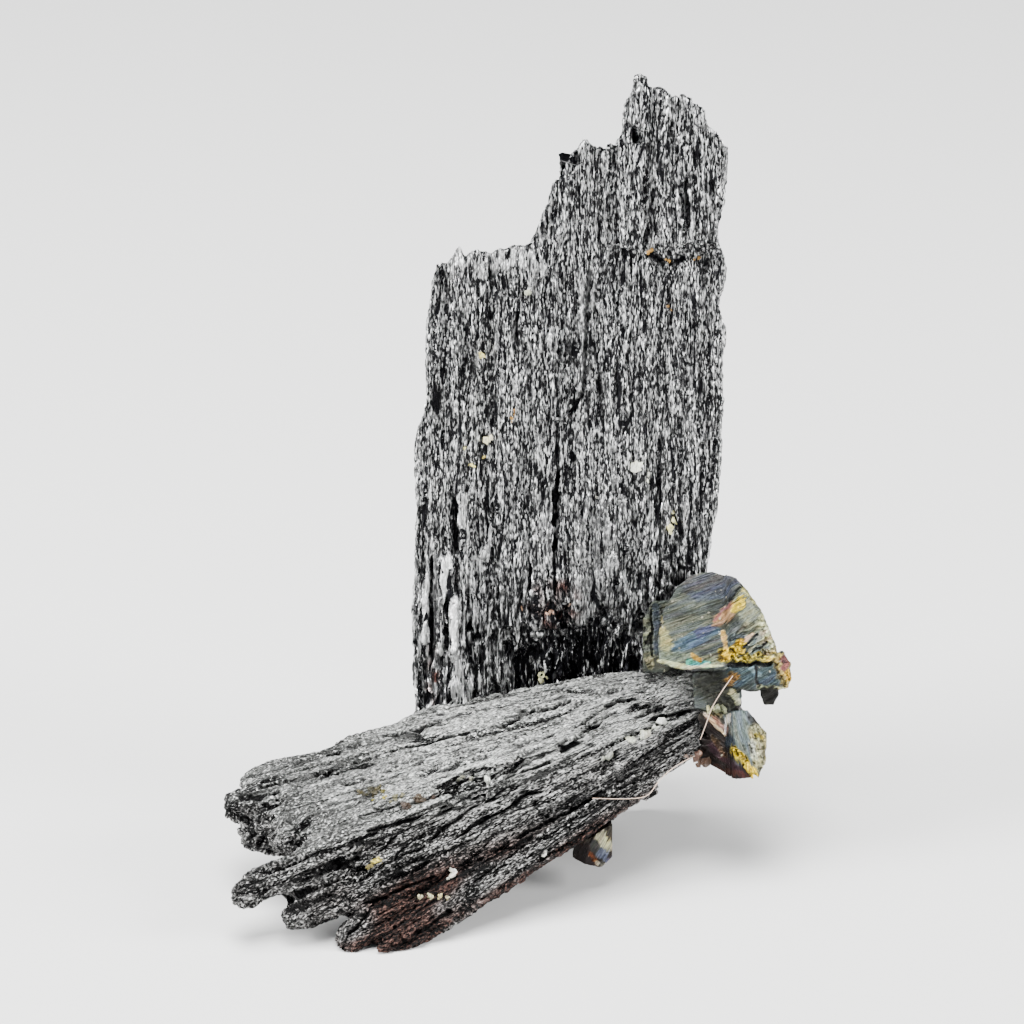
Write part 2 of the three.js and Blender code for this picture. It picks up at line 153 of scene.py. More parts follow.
def applied(piece):
    # the object's mesh with its modifiers worked in
    bpy.context.view_layer.update()
    depsgraph = bpy.context.evaluated_depsgraph_get()
    mesh = bpy.data.meshes.new_from_object(piece.evaluated_get(depsgraph))
    piece.modifiers.clear()
    old = piece.data
    piece.data = mesh
    bpy.data.meshes.remove(old)
    return mesh


def evenlyMeshed(piece, toGrain, stretch, voxel, smooth=0):
    # an even mesh that is finer across the grain than along it
    squeeze = Matrix.Diagonal((1, 1, 1 / stretch, 1)) @ toGrain
    moveBy(piece.data, squeeze)
    remesh = piece.modifiers.new("even mesh", "REMESH")
    remesh.mode = "VOXEL"
    remesh.voxel_size = voxel * mm
    remesh.adaptivity = 0
    if smooth:
        soften = piece.modifiers.new("soften", "SMOOTH")
        soften.factor = 0.5
        soften.iterations = smooth
    mesh = applied(piece)
    moveBy(mesh, squeeze.inverted())
    return mesh


def keepLargest(mesh):
    # crumbs that a cut leaves behind are dropped
    grid = bmesh.new()
    grid.from_mesh(mesh)
    left = set(grid.verts)
    islands = []
    while left:
        front = [left.pop()]
        island = set(front)
        while front:
            vert = front.pop()
            for edge in vert.link_edges:
                other = edge.other_vert(vert)
                if other not in island:
                    island.add(other)
                    front.append(other)
        left -= island
        islands.append(island)
    islands.sort(key=len)
    for island in islands[:-1]:
        bmesh.ops.delete(grid, geom=list(island), context="VERTS")
    grid.to_mesh(mesh)
    grid.free()
    mesh.update()


def keptInside(mesh, node):
    # nothing reaches past the box of the solid
    low, high = (np.array(corner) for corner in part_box(node))
    setPoints(mesh, np.clip(pointsOf(mesh), low, high))


def lightened(piece, front, most):
    # leaves out triangles, mostly on the side that faces away from the front
    mesh = piece.data
    count = len(mesh.polygons) * 2
    if count <= most:
        return
    back = normalsOf(mesh) @ np.array(front) < 0.05
    group = piece.vertex_groups.new(name="back")
    group.add(np.flatnonzero(back).tolist(), 1.0, "REPLACE")
    group.add(np.flatnonzero(~back).tolist(), 0.6, "REPLACE")
    fewer = piece.modifiers.new("fewer", "DECIMATE")
    fewer.ratio = most / count
    fewer.vertex_group = "back"
    fewer.vertex_group_factor = 0.02
    keptInside(applied(piece), "black_blades")
    piece.vertex_groups.clear()


def storeVectors(mesh, name, values):
    layer = mesh.attributes.new(name, "FLOAT_VECTOR", "POINT")
    layer.data.foreach_set("vector", values.astype(np.float32).ravel())


def storeNumbers(mesh, **named):
    for name, values in named.items():
        layer = mesh.attributes.new(name, "FLOAT", "POINT")
        layer.data.foreach_set("value", values.astype(np.float32))


def fromPath(points, path, through, reach=1.5):
    # distance to a line of straight strokes, seen along a direction, from no further off than the reach
    nearest = np.full(len(points), np.inf)
    for start, end in zip(path, path[1:]):
        away = points - np.array(start, float)
        run = np.array(end, float) - np.array(start, float)
        flat = away - np.outer(away @ through, through)
        flatRun = run - (run @ through) * through
        share = np.clip(flat @ flatRun / (flatRun @ flatRun), 0, 1)
        below = np.abs((away - share[:, None] * run) @ through)
        distance = np.linalg.norm(flat - share[:, None] * flatRun, axis=1)
        nearest = np.minimum(nearest, distance + np.maximum(below - reach, 0))
    return nearest


def strokes(points, marks, jitter, through=None):
    # summed rise of the marks, how calm they make the surface, and how bright it is painted there; the
    # bright smooth faces are a painted highlight
    through = np.zeros(points.shape[1]) if through is None else np.array(Vector(through).normalized())
    rise = np.zeros(len(points))
    calm = np.zeros(len(points))
    shade = np.full(len(points), 0.75)
    for path, width, amount, *still in marks:
        distance = fromPath(points, path, through) + jitter * width * 0.45
        share = 1 - smoothStep(width * 0.2, width * 0.58, distance)
        rise += share * amount
        stillness, brightness = still or (0, 0.75)
        stillness = share * stillness
        shade = np.where(stillness > calm, brightness, shade)
        calm = np.maximum(calm, stillness)
    return rise, calm, shade


class Shader:
    # a short way to build a material's nodes
    def __init__(self, name):
        self.material = bpy.data.materials.new(name)
        self.material.use_nodes = True
        self.tree = self.material.node_tree
        self.surface = self.tree.nodes["Principled BSDF"]

    def node(self, kind, inputs=(), **settings):
        made = self.tree.nodes.new(kind)
        for key, value in settings.items():
            setattr(made, key, value)
        for key, value in dict(inputs).items():
            if isinstance(value, bpy.types.NodeSocket):
                self.tree.links.new(value, made.inputs[key])
            else:
                made.inputs[key].default_value = value
        return made

    def math(self, operation, a, b=0.0, clamp=False):
        return self.node("ShaderNodeMath", {0: a, 1: b}, operation=operation, use_clamp=clamp).outputs[0]

    def times(self, a, b):
        return self.math("MULTIPLY", a, b)

    def vector(self, operation, a, b=(0, 0, 0)):
        return self.node("ShaderNodeVectorMath", {0: a, 1: b}, operation=operation).outputs["Vector"]

    def attribute(self, name, output="Vector"):
        return self.node("ShaderNodeAttribute", attribute_name=name).outputs[output]

    def spread(self, value):
        # one number as all three parts of a vector
        return self.node("ShaderNodeCombineXYZ", {"X": value, "Y": value, "Z": value}).outputs[0]

    def cells(self, vector):
        # grains, each in a random colour of its own
        inputs = {"Vector": vector, "Scale": 1.0, "Randomness": 1.0}
        return self.node("ShaderNodeTexVoronoi", inputs).outputs["Color"]

    def part(self, colour, which):
        return self.node("ShaderNodeSeparateColor", {"Color": colour}).outputs[which]

    def facing(self, height, distance, cells, tilt):
        # a bumpy surface on which each grain also has a small tilt of its own
        bump = self.node("ShaderNodeBump", {"Height": height, "Strength": 1.0, "Distance": distance * mm})
        own = self.vector("MULTIPLY", self.vector("SUBTRACT", cells, (0.5, 0.5, 0.5)), tilt)
        return self.vector("NORMALIZE", self.vector("ADD", bump.outputs["Normal"], own))

    def scaled(self, vector, size):
        # coordinates counted in steps of the given sizes
        return self.vector("DIVIDE", vector, size)

    def noise(self, vector, scale=1.0, detail=2.0, rough=0.5):
        inputs = {"Vector": vector, "Scale": scale, "Detail": detail, "Roughness": rough}
        return self.node("ShaderNodeTexNoise", inputs).outputs["Fac"]

    def ramp(self, value, stops):
        ramp = self.node("ShaderNodeValToRGB", {"Fac": value})
        while len(ramp.color_ramp.elements) > 1:
            ramp.color_ramp.elements.remove(ramp.color_ramp.elements[-1])
        ramp.color_ramp.elements[0].position = stops[0][0]
        ramp.color_ramp.elements[0].color = (*stops[0][1], 1)
        for place, colour in stops[1:]:
            ramp.color_ramp.elements.new(place).color = (*colour, 1)
        return ramp.outputs["Color"]

    def mapRange(self, value, low, high, toLow=0.0, toHigh=1.0):
        inputs = {"Value": value, "From Min": low, "From Max": high, "To Min": toLow, "To Max": toHigh}
        return self.node("ShaderNodeMapRange", inputs).outputs["Result"]

    def mix(self, share, a, b):
        made = self.node("ShaderNodeMix", data_type="RGBA")
        for key, value in ((0, share), (6, a), (7, b)):
            if isinstance(value, bpy.types.NodeSocket):
                self.tree.links.new(value, made.inputs[key])
            elif key == 0:
                made.inputs[key].default_value = value
            else:
                made.inputs[key].default_value = (*value, 1)
        return made.outputs[2]

    def set(self, **inputs):
        names = {"baseColor": "Base Color", "metallic": "Metallic", "roughness": "Roughness",
                 "normal": "Normal", "specular": "Specular IOR Level"}
        for key, value in inputs.items():
            socket = self.surface.inputs[names[key]]
            if isinstance(value, bpy.types.NodeSocket):
                self.tree.links.new(value, socket)
            else:
                socket.default_value = (*value, 1) if key == "baseColor" else value


# the camera and the light

view = {
    "elevation": 25,             # degrees above the horizon, straight from the front
    "aim": (0.39, 8.14, 28.6),   # the point in the middle of the picture
    "distance": 470,
    "width": 85.3,               # what the picture is wide at that distance
    "sensor": 36,
    "clip": (0.01, 20),          # in metres
}

studio = {
    "floor": (0.72, 0.72, 0.71),
    "floorReach": 4000,
    "lightsAim": (0, 0, 25),
    "world": (0.82, 0.86, 0.92),
    "worldStrength": 0.3,
    "lights": [
        # name, where it stands, how wide and high, watts
        ("overhead softbox", (-30, -10, 420), (330, 220), 5.0),
        ("left softbox", (-400, -120, 200), (160, 260), 6.0),
        ("right softbox", (400, -100, 170), (160, 260), 4.0),
    ],
}


def lookAt(piece, target):
    piece.rotation_euler = (Vector(target) - piece.location).to_track_quat("-Z", "Y").to_euler()


def cameraPlace():
    rise = math.radians(view["elevation"])
    return (Vector(view["aim"]) + Vector((0, -math.cos(rise), math.sin(rise))) * view["distance"]) * mm


def makeCamera():
    camera = newObject("camera", bpy.data.cameras.new("camera"))
    camera.location = cameraPlace()
    lookAt(camera, Vector(view["aim"]) * mm)
    camera.data.sensor_width = view["sensor"]
    camera.data.lens = view["sensor"] * view["distance"] / view["width"]
    camera.data.clip_start, camera.data.clip_end = view["clip"]
    bpy.context.scene.camera = camera


def makeStudio():
    world = bpy.data.worlds.new("studio")
    bpy.context.scene.world = world
    world.use_nodes = True
    background = world.node_tree.nodes["Background"]
    background.inputs["Color"].default_value = (*studio["world"], 1)
    background.inputs["Strength"].default_value = studio["worldStrength"]
    for name, place, size, power in studio["lights"]:
        light = bpy.data.lights.new(name, "AREA")
        light.shape = "RECTANGLE"
        light.size, light.size_y = (side * mm for side in size)
        light.energy = power
        lamp = newObject(name, light)
        lamp.location = Vector(place) * mm
        lookAt(lamp, Vector(studio["lightsAim"]) * mm)
    floor = newObject("floor", bpy.data.meshes.new("floor"))
    reach = studio["floorReach"] * mm
    corners = [(-reach, -reach, 0), (reach, -reach, 0), (reach, reach, 0), (-reach, reach, 0)]
    floor.data.from_pydata(corners, [], [(0, 1, 2, 3)])
    paper = Shader("floor paper")
    paper.set(baseColor=studio["floor"], roughness=0.9)
    floor.data.materials.append(paper.material)


# the black blades: the tall one in two halves, and the fan in front of it

mostTriangles = 192000       # in each of the three pieces

tallBlade = {
    "lean": 8,                   # degrees back from upright
    "footFront": 4.14,           # where its front meets the ground
    "seam": 4.1,                 # the halves meet in a groove at this distance right
    "overlap": 1.4,
    "stretch": 2.4,              # how much longer than wide the mesh's cells are
    "roughVoxel": 0.2,
    "voxel": 0.095,
    "swell": 0.26,               # uneven forms of a millimetre or more
    "outset": 0.2,               # makes up for what the gaps and grooves take away
    "ribs": 0.2,
    "fineRibs": 0.15,
    "grains": 0.1,               # height of a grain above the gap round it
    "grainSize": (0.24, 0.34, 0.85),
    "coarseSize": (0.38, 0.5, 1.7),
    "coarseBelow": (16, 30),     # the grain gets coarser below these heights
    "clefts": 0.28,
    # the hollow at its foot, whose top slopes up to the right, and how deep its painted shade reaches
    "hollow": {"middle": 6.2, "halfWidth": 7.2, "top": 18.8, "slope": 0.1, "slopeFrom": 6, "deep": 1.7,
               "paintedShadeDown": (2.6, 3.2)},
    "frontDown": (0.8, 1.6),     # marks and grooves are on the front only, down to these depths
    # rusty patches: right and up, half the width and height, and from where it thins out
    "rust": [(3.9, 20.8, 2.4, 2.6, 0.6), (-6.3, 14.5, 0.7, 3.0, 0.5)],
    "marks": [
        # strokes on the front, through points right and up along the blade: the width, the rise,
        # how calm the surface is there and how bright; the bright ones on smooth faces are a painted
        # highlight
        ([(-5.2, 24.8), (-4.3, 17.3)], 1.15, 0.5, 0.9, 1.2),
        ([(-5.9, 26.0), (-6.1, 17.7)], 0.8, 0.1, 0.85, 0.02),
        ([(-6.7, 23.4), (-6.8, 17.7)], 0.55, 0.35, 0.8, 1.1),
        ([(-5.5, 21.2), (-5.6, 16.4)], 0.5, 0.45, 0.8, 1.2),
        ([(-6.0, 16.6), (-6.0, 13.3)], 0.9, 0.0, 0.7, 0.0),
        ([(-4.2, 16.6), (-3.8, 12.0)], 1.3, 0.45, 0.75, 0.9),
        ([(-3.4, 30.6), (-3.8, 26.4)], 0.8, 0.3, 0.6, 0.8),
        ([(-1.1, 28.8), (-1.8, 24.7)], 0.55, 0.3, 0.6, 0.9),
        ([(-2.2, 25.5), (-2.3, 22.9)], 0.5, 0.3, 0.7, 1.2),
        ([(-2.9, 22.6), (-2.7, 18.0)], 0.6, 0.3, 0.4, 0.6),
        ([(8.1, 28.6), (7.0, 18.2)], 3.2, 0.3, 0.8, 0.1),
        ([(2.9, 29.9), (3.2, 24.7)], 1.7, 0.0, 0.5, 0.07),
        ([(3.6, 22.0), (4.4, 19.5)], 2.6, 0.35),
        ([(12.4, 27.0), (12.2, 21.0)], 0.45, 0.3, 0.7, 1.2),
        ([(6.1, 49.0), (6.5, 39.0)], 1.1, 0.1, 0.35, 0.45),
        ([(-4.2, 50.4), (2.8, 50.1)], 2.2, 0.12, 0.45, 0.9),
        ([(7.9, 41.3), (6.2, 38.9)], 0.3, 0.3, 0.8, 0.6),
    ],
    "grooves": [
        # the same, with a width and a rise
        ([(4.2, 40.3), (4.1, 31.0)], 0.3, -0.5),
        ([(4.1, 31.8), (3.9, 25.5)], 0.45, -0.6),
        ([(3.9, 25.5), (4.0, 21.0)], 0.25, -0.4),
        ([(6.8, 50.5), (6.3, 38.6)], 0.28, -0.3),
        ([(0.8, 45.9), (0.7, 43.3)], 0.3, -0.4),
        ([(6.2, 38.9), (4.8, 36.0)], 0.3, -0.4),
        ([(12.0, 56.5), (11.2, 51.2)], 0.24, -0.35),
        ([(14.7, 57.3), (14.9, 53.2)], 0.28, -0.35),
        ([(-1.3, 24.5), (-1.1, 31.5)], 0.2, -0.35),
        ([(-6.3, 24.9), (-6.4, 13.3)], 0.26, -0.5),
        ([(-4.4, 29.9), (-4.3, 25.3)], 0.3, -0.5),
        ([(-3.2, 18.5), (-2.8, 17.8)], 0.8, -0.6),
        ([(-5.75, 24.0), (-5.0, 16.8)], 0.2, -0.35),
        ([(1.9, 27.3), (2.0, 19.4)], 0.24, -0.4),
        ([(12.6, 35.0), (12.8, 22.0)], 0.22, -0.35),
        ([(8.2, 51.4), (10.2, 51.1)], 0.36, -0.3),
        ([(10.3, 51.4), (12.6, 50.4)], 0.4, -0.4),
        ([(12.8, 50.1), (15.2, 50.6)], 0.34, -0.35),
        ([(10.4, 61.3), (10.5, 60.7)], 0.75, -0.9),
    ],
    "step": [(2.7, 51.5), (9.0, 51.3), (11.0, 51.2), (12.7, 50.2), (15.0, 50.8), (17.6, 50.3)],
    "stepFrom": (6.5, 9.5),      # the step fades in between these places
    "stepDeep": 0.4,
}


fanBlade = {
    "apex": (31.2, 7.6, 17.8),   # where the laths would meet
    "reach": 40,                 # distance from there at which one step across is one millimetre
    "grainAxis": (0.88, 0.36, 0.27),
    "stretch": 2.2,
    "roughVoxel": 0.18,
    "voxel": 0.095,
    "front": (-0.1, -0.75, 0.65),     # the way most of what shows of it faces
    "swell": 0.15,
    "outset": 0.2,
    "ribs": 0.14,
    "fineRibs": 0.05,
    "grains": 0.1,
    "grainSize": (0.18, 0.18, 0.4),
    "cracks": 0.35,
    "grooves": 0.22,             # between the narrow laths of the front
    "lips": 0.05,                # raised edges of the cracks
    "slant": 0.2,
    "clefts": 0.25,
    "top": {"height": 12.44, "right": 0.17, "back": 0.15},    # and how it rises to the right and back
    # between these places it gets darker: down its front, leftwards, and leftwards on the front alone
    "darkBelow": (3.0, 9.5),
    "darkLeft": (-15, -3),
    "darkLeftFront": (-14, -9),
    # a dark strip along its far edge, and the line below which its front is rusty; both lines slope
    "farEdge": {"back": 2.2, "at": -8, "slope": 0.14, "ends": (-6.5, -4.5)},
    "rusty": {"up": 5.6, "at": -3, "slope": 0.15, "starts": (-17, -12)},
    "widerTop": (-10, -3),       # right of these the top reaches further down
    "partingTop": 14.2,          # the parting cut runs just above the fan's top and rises with it
    "parting": 0.45,             # how far in front of the tall blade the fan is parted from it
    "rooted": 1.1,               # how far the fan is then let into the tall blade
    "pockets": [
        # strokes in the row's own frame: points right, back and up, the width and the rise
        ([(-5.4, -7.1, 10.3), (-3.1, -6.5, 10.3), (-1.9, -6.0, 10.5)], 1.0, -0.9),
        ([(-1.9, -6.0, 10.5), (-1.1, -5.5, 10.9), (0.9, -4.5, 11.5)], 0.65, -0.7),
        ([(-5.6, -6.8, 10.3), (-4.6, -5.9, 10.6), (-3.4, -5.1, 11.0), (-2.3, -4.6, 11.1)], 0.6, -0.6),
        ([(-11.4, -8.9, 9.2), (-8.4, -8.2, 9.5), (-5.5, -7.4, 10.1)], 0.7, -0.35),
        ([(10.6, 0.4, 14.3), (12.5, 0.5, 14.3)], 1.3, -0.9),
        ([(-3.7, -10.0, 5.2), (-2.2, -9.2, 6.0), (-0.3, -8.6, 6.1)], 0.75, -0.6),
        ([(-20.6, -6.5, 7.4), (-19.0, -5.5, 8.4)], 1.2, -1.0),
        ([(-17.9, -9.8, 7.1), (-16.3, -8.5, 8.4), (-16.0, -8.0, 8.6)], 0.5, -0.6),
        ([(-13.9, -12.0, 6.0), (-11.9, -11.9, 5.5)], 0.8, -0.7),
        ([(4.2, -8.3, 5.8), (5.8, -7.4, 5.9)], 0.5, -0.4),
        ([(2.5, -9.3, 5.0), (3.4, -8.9, 5.3)], 0.5, -0.4),
    ],
    "topCracks": [
        ([(-20.3, -2.8, 8.3), (-17.2, -2.4, 8.9), (-14.7, -1.9, 9.5), (-13.5, -1.5, 9.8),
         (-10.6, -0.9, 10.4), (-8.9, -0.2, 10.8)], 0.6, -0.6),
        ([(-8.9, -0.2, 10.8), (-5.2, 0.2, 11.5), (-0.2, 0.7, 12.5), (1.9, 1.6, 12.9)], 0.53, -0.45),
        ([(1.1, 2.2, 12.9), (3.6, 1.9, 13.2), (5.2, 2.7, 13.6)], 0.62, -0.45),
        ([(-22.1, -3.6, 7.8), (-20.3, -3.7, 8.1), (-18.8, -3.9, 8.5)], 0.62, -0.45),
        ([(-15.3, -2.8, 9.1), (-13.5, -2.5, 9.5), (-11.8, -2.1, 9.9), (-10.5, -2.1, 10.1)], 0.62, -0.5),
        ([(-13.4, -4.4, 9.5), (-11.8, -4.5, 9.8)], 0.43, -0.33),
        ([(-17.1, 0.4, 9.5), (-14.2, 0.6, 10.1)], 0.55, -0.5),
        ([(-10.1, 2.1, 10.9), (-8.4, 2.0, 11.3), (-5.7, 2.7, 11.8)], 0.62, -0.45),
        ([(-9.0, -1.1, 10.7), (-7.5, -1.0, 10.9)], 0.62, -0.33),
        ([(-6.4, -4.9, 10.6), (-4.7, -4.1, 11.0), (-3.6, -3.7, 11.2), (-1.4, -3.2, 11.6),
         (0.6, -2.7, 12.0), (3.0, -1.7, 12.5), (3.5, -1.3, 12.7)], 0.58, -0.49),
        ([(4.4, -2.9, 12.4), (5.9, -2.2, 12.9), (7.9, -0.5, 13.6), (8.9, 0.0, 13.9)], 0.50, -0.45),
        ([(5.9, -0.8, 13.1), (7.4, 0.7, 13.5), (9.1, 1.9, 14.0), (10.6, 2.1, 14.3)], 0.53, -0.45),
        ([(5.3, 4.6, 13.8), (7.7, 3.2, 14.1)], 0.62, -0.45),
    ],
    "frontWay": (0.0, -0.906, 0.423),     # the marks on its front are laid on along this
    "frontCracks": [
        ([(-11.3, -10.1, 8.2), (-8.4, -9.0, 8.6), (-6.3, -8.3, 8.9), (-3.1, -7.0, 9.7),
         (-0.9, -5.7, 10.5), (1.5, -4.7, 11.1), (3.5, -3.9, 11.4)], 0.27, -0.47),
        ([(-10.5, -10.7, 6.8), (-8.4, -9.4, 8.2), (-4.3, -7.7, 9.1)], 0.23, -0.42),
        ([(-9.2, -11.2, 6.2), (-7.2, -10.3, 6.6), (-5.4, -8.8, 7.7), (-2.2, -7.2, 9.1),
         (-0.1, -6.0, 9.9)], 0.27, -0.42),
        ([(-4.2, -9.0, 7.2), (-2.4, -8.1, 7.9), (-0.1, -7.0, 8.7), (1.5, -5.9, 9.5), (2.9, -5.6, 9.5)],
         0.32, -0.53),
        ([(3.9, -5.2, 9.7), (5.2, -4.6, 10.1), (7.5, -3.5, 10.8), (8.8, -3.1, 10.8)], 0.20, -0.37),
        ([(0.9, -8.0, 6.5), (2.2, -7.3, 7.0), (4.4, -6.2, 7.8), (5.8, -5.6, 8.0), (6.8, -4.9, 8.6),
         (8.2, -4.9, 8.8)], 0.23, -0.42),
        ([(9.0, -4.3, 9.2), (11.2, -3.0, 9.6)], 0.22, -0.37),
        ([(-17.3, -13.2, 4.3), (-15.4, -12.8, 4.6), (-13.8, -12.2, 5.1)], 0.32, -0.53),
        ([(-16.7, -13.3, 5.3), (-13.7, -12.0, 5.9), (-12.1, -11.2, 6.4)], 0.27, -0.42),
        ([(-9.5, -12.5, 3.6), (-7.6, -11.7, 4.4), (-5.1, -10.9, 4.7)], 0.27, -0.42),
        ([(-11.8, -13.0, 3.1), (-9.8, -12.8, 3.4)], 0.27, -0.37),
        ([(-13.1, -15.1, 1.4), (-11.5, -13.7, 2.7)], 0.31, -0.42),
        ([(-7.9, -14.9, 1.1), (-4.6, -13.1, 2.4)], 0.27, -0.37),
        ([(11.9, -0.3, 13.5), (15.2, 0.8, 13.8)], 0.41, -0.42),
    ],
}


def tallFrame():
    # row frame to the tall blade's own: x across, y into it, z along it
    turn = Matrix.Rotation(math.radians(tallBlade["lean"]), 4, "X")
    return turn @ Matrix.Translation((0, -tallBlade["footFront"] * mm, 0))


def intoBlade():
    # the way from the tall blade's front to its back
    return np.array(tallFrame().to_3x3().inverted() @ Vector((0, 1, 0)))


def blockOf(corners):
    # a six-sided cutting block from its eight corners, in the tall blade's own frame
    faces = [(0, 1, 2, 3), (7, 6, 5, 4), (0, 4, 5, 1), (1, 5, 6, 2), (2, 6, 7, 3), (3, 7, 4, 0)]
    mesh = bpy.data.meshes.new("block")
    mesh.from_pydata([Vector(corner) * mm for corner in corners], [], faces)
    mesh.transform(tallFrame().inverted())
    grid = bmesh.new()
    grid.from_mesh(mesh)
    bmesh.ops.recalc_face_normals(grid, faces=grid.faces)
    grid.to_mesh(mesh)
    grid.free()
    return newObject("block", mesh)


def fanBlock():
    # everything in front of the tall blade and below the top of the fan
    corners = []
    for x in (-90, 90):
        top = fanBlade["partingTop"] + fanBlade["top"]["right"] * x
        front = -fanBlade["parting"]
        corners += [(x, -90, -20), (x, front, -20), (x, front, top), (x, -90, top)]
    return blockOf(corners)


def leftBlock(edge):
    # everything left of the edge
    corners = []
    for x in (-90, edge):
        corners += [(x, -90, -90), (x, 90, -90), (x, 90, 90), (x, -90, 90)]
    return blockOf(corners)


def cutPiece(name, source, block, operation):
    piece = newObject(name, source.copy())
    cut = piece.modifiers.new("cut", "BOOLEAN")
    cut.operation = operation
    cut.solver = "EXACT"
    cut.object = block
    keepLargest(applied(piece))
    return piece


def partedBlades():
    source = meshFrom(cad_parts["black_blades"].data)
    inFront = fanBlock()
    fan = cutPiece("fanBlade", source, inFront, "INTERSECT")
    tall = cutPiece("tallBlade", source, inFront, "DIFFERENCE")
    rightEdge = leftBlock(tallBlade["seam"] + tallBlade["overlap"])
    leftEdge = leftBlock(tallBlade["seam"] - tallBlade["overlap"])
    left = cutPiece("tallBladeLeft", tall.data, rightEdge, "INTERSECT")
    right = cutPiece("tallBladeRight", tall.data, leftEdge, "DIFFERENCE")
    for tool in (inFront, rightEdge, leftEdge, tall):
        bpy.data.objects.remove(tool)
    return left, right, fan


def fanGrain(points):
    # across, into and along the laths, which spread from the apex
    axis = Vector(fanBlade["grainAxis"]).normalized()
    across = axis.cross(Vector((0, 0, 1))).normalized()
    normal = across.cross(axis).normalized()
    fromApex = points - np.array(fanBlade["apex"])
    distance = np.linalg.norm(fromApex, axis=1)
    direction = fromApex / distance[:, None]
    sideways, inwards = (direction @ np.array(way) * fanBlade["reach"] for way in (across, normal))
    return np.stack([sideways, inwards, distance], 1)


def tallGrain(points):
    turn = np.array(tallFrame().to_3x3())
    return (points - np.array([0, tallBlade["footFront"], 0])) @ turn.T


def warped(grain, seed, amount):
    # coordinates bent a little, so that no row of grains is straight
    bend = [softNoise(grain, (0.9, 0.9, 3.0), seed + k) * amount for k in range(2)]
    return grain + np.stack([bend[0], bend[1], np.zeros(len(grain))], 1)


def hollowShare(grain):
    # 1 in the middle of the hollow at the foot of the tall blade, 0 outside its ragged edge
    look = tallBlade["hollow"]
    across = np.abs(grain[:, 0] - look["middle"]) / look["halfWidth"]
    share = 1 - smoothStep(0.6, 1.0, across + softNoise(grain, (1.1, 9, 2.5), 16) * 0.3)
    top = look["top"] + (grain[:, 0] - look["slopeFrom"]) * look["slope"]
    top = top + softNoise(grain, (1.6, 9, 90), 17) * 1.6
    ragged = softNoise(grain, (0.7, 9, 1.0), 20) * 1.3 + softNoise(grain, (0.3, 9, 0.45), 27) * 0.8
    return share * (1 - smoothStep(-1.0, 0.6, grain[:, 2] - top + ragged))


def tallForms(points, grain, normals):
    # ledges, grooves, the step below the upper part and the hollow behind the fan
    look = tallBlade
    rise = softNoise(grain, (0.9, 2, 6), 12) * look["swell"]
    rise -= np.abs(softNoise(grain, (1.7, 3, 12), 13)) * look["swell"] * 1.4
    front = smoothStep(0.1, 0.5, -(normals @ intoBlade()))
    jitter = softNoise(grain, (0.5, 9, 1.5), 14)
    marked = strokes(grain[:, [0, 2]], look["marks"], jitter)[0]
    line = np.interp(grain[:, 0], *zip(*look["step"])) + softNoise(grain, (0.45, 9, 90), 15) * 0.5
    below = line - grain[:, 2]
    step = -look["stepDeep"] * smoothStep(0, 0.25, below) * (1 - smoothStep(0.3, 1.2, below))
    step *= smoothStep(*look["stepFrom"], grain[:, 0])
    rise += (marked + step) * front
    moved = points + normals * rise[:, None]

    # the hollow's floor is one rough bowl
    own = tallGrain(moved)
    bowl = hollowShare(own)
    floorOfIt = bowl * look["hollow"]["deep"] * (0.8 + softNoise(grain, (0.9, 9, 3), 18) * 0.35)
    sunk = np.where((own[:, 1] < floorOfIt) & (bowl > 0.02), floorOfIt - own[:, 1], 0)
    return moved + sunk[:, None] * intoBlade()


def tallRelief(points, grain):
    look = tallBlade
    bent = warped(grain, 11, 0.16)
    ribs = -np.abs(softNoise(bent, (1.1, 2.4, 20), 21)) * look["ribs"] * 1.6
    ribs += softNoise(bent, (2.6, 5, 17), 22) * look["ribs"]
    fineValley = np.abs(softNoise(bent, (0.55, 1.2, 6.5), 23))
    fine = -(1 - smoothStep(0, 0.45, fineValley)) * look["fineRibs"]
    inside, own = cellNoise(bent, look["grainSize"], 24)
    insideCoarse, ownCoarse = cellNoise(bent, look["coarseSize"], 34)
    coarse = 1 - smoothStep(*look["coarseBelow"], grain[:, 2] + softNoise(grain, (3, 3, 6), 35) * 5)
    inside = inside * (1 - coarse * 0.6) + insideCoarse * coarse * 0.6
    own = np.where(coarse > 0.5, own * 0.35 + ownCoarse * 0.65, own)
    gap = (1 - smoothStep(0.02, 0.34, inside)) * 0.8
    bumps = (-gap * 1.2 + (own - 0.5) * 1.4) * look["grains"] * (1 + coarse * 0.8)
    cleft = smoothStep(0.5, 0.7, softNoise(bent, (0.22, 1.2, 2.6), 25)) * (0.3 + 0.7 * coarse)
    wide = smoothStep(0.5, 0.8, softNoise(bent, (0.7, 2.4, 8), 26)) * 0.35 * coarse
    # the gaps, the clefts and the valleys between the fine ribs are painted dark as shade
    gap = np.maximum(gap, np.maximum(cleft * 0.8, 0.7 - 0.7 * smoothStep(0.03, 0.2, fineValley)))
    cleft = np.maximum(cleft, wide)
    # the marks' brightness: on the bright smooth faces a painted highlight
    calm, shade = strokes(grain[:, [0, 2]], look["marks"], softNoise(grain, (0.5, 9, 1.5), 14))[1:]
    onFront = 1 - smoothStep(*look["frontDown"], grain[:, 1])
    calm *= onFront
    grooved = strokes(grain[:, [0, 2]], look["grooves"], softNoise(grain, (0.4, 9, 1.0), 19))[0] * onFront
    rough = 1 - 0.8 * calm
    height = (ribs + fine + bumps - cleft * look["clefts"]) * rough + look["outset"] + grooved
    # the hollow is painted dark as shade, down to a depth
    hollowPaintedShade = hollowShare(grain) * (1 - smoothStep(*look["hollow"]["paintedShadeDown"], grain[:, 1]))
    gap = np.maximum(gap * rough, hollowPaintedShade * 0.85)
    # the grooves are painted black as shade
    return height, gap, own * (1 - calm) + calm * shade, coarse, calm, np.clip(-grooved * 2.6, 0, 1)


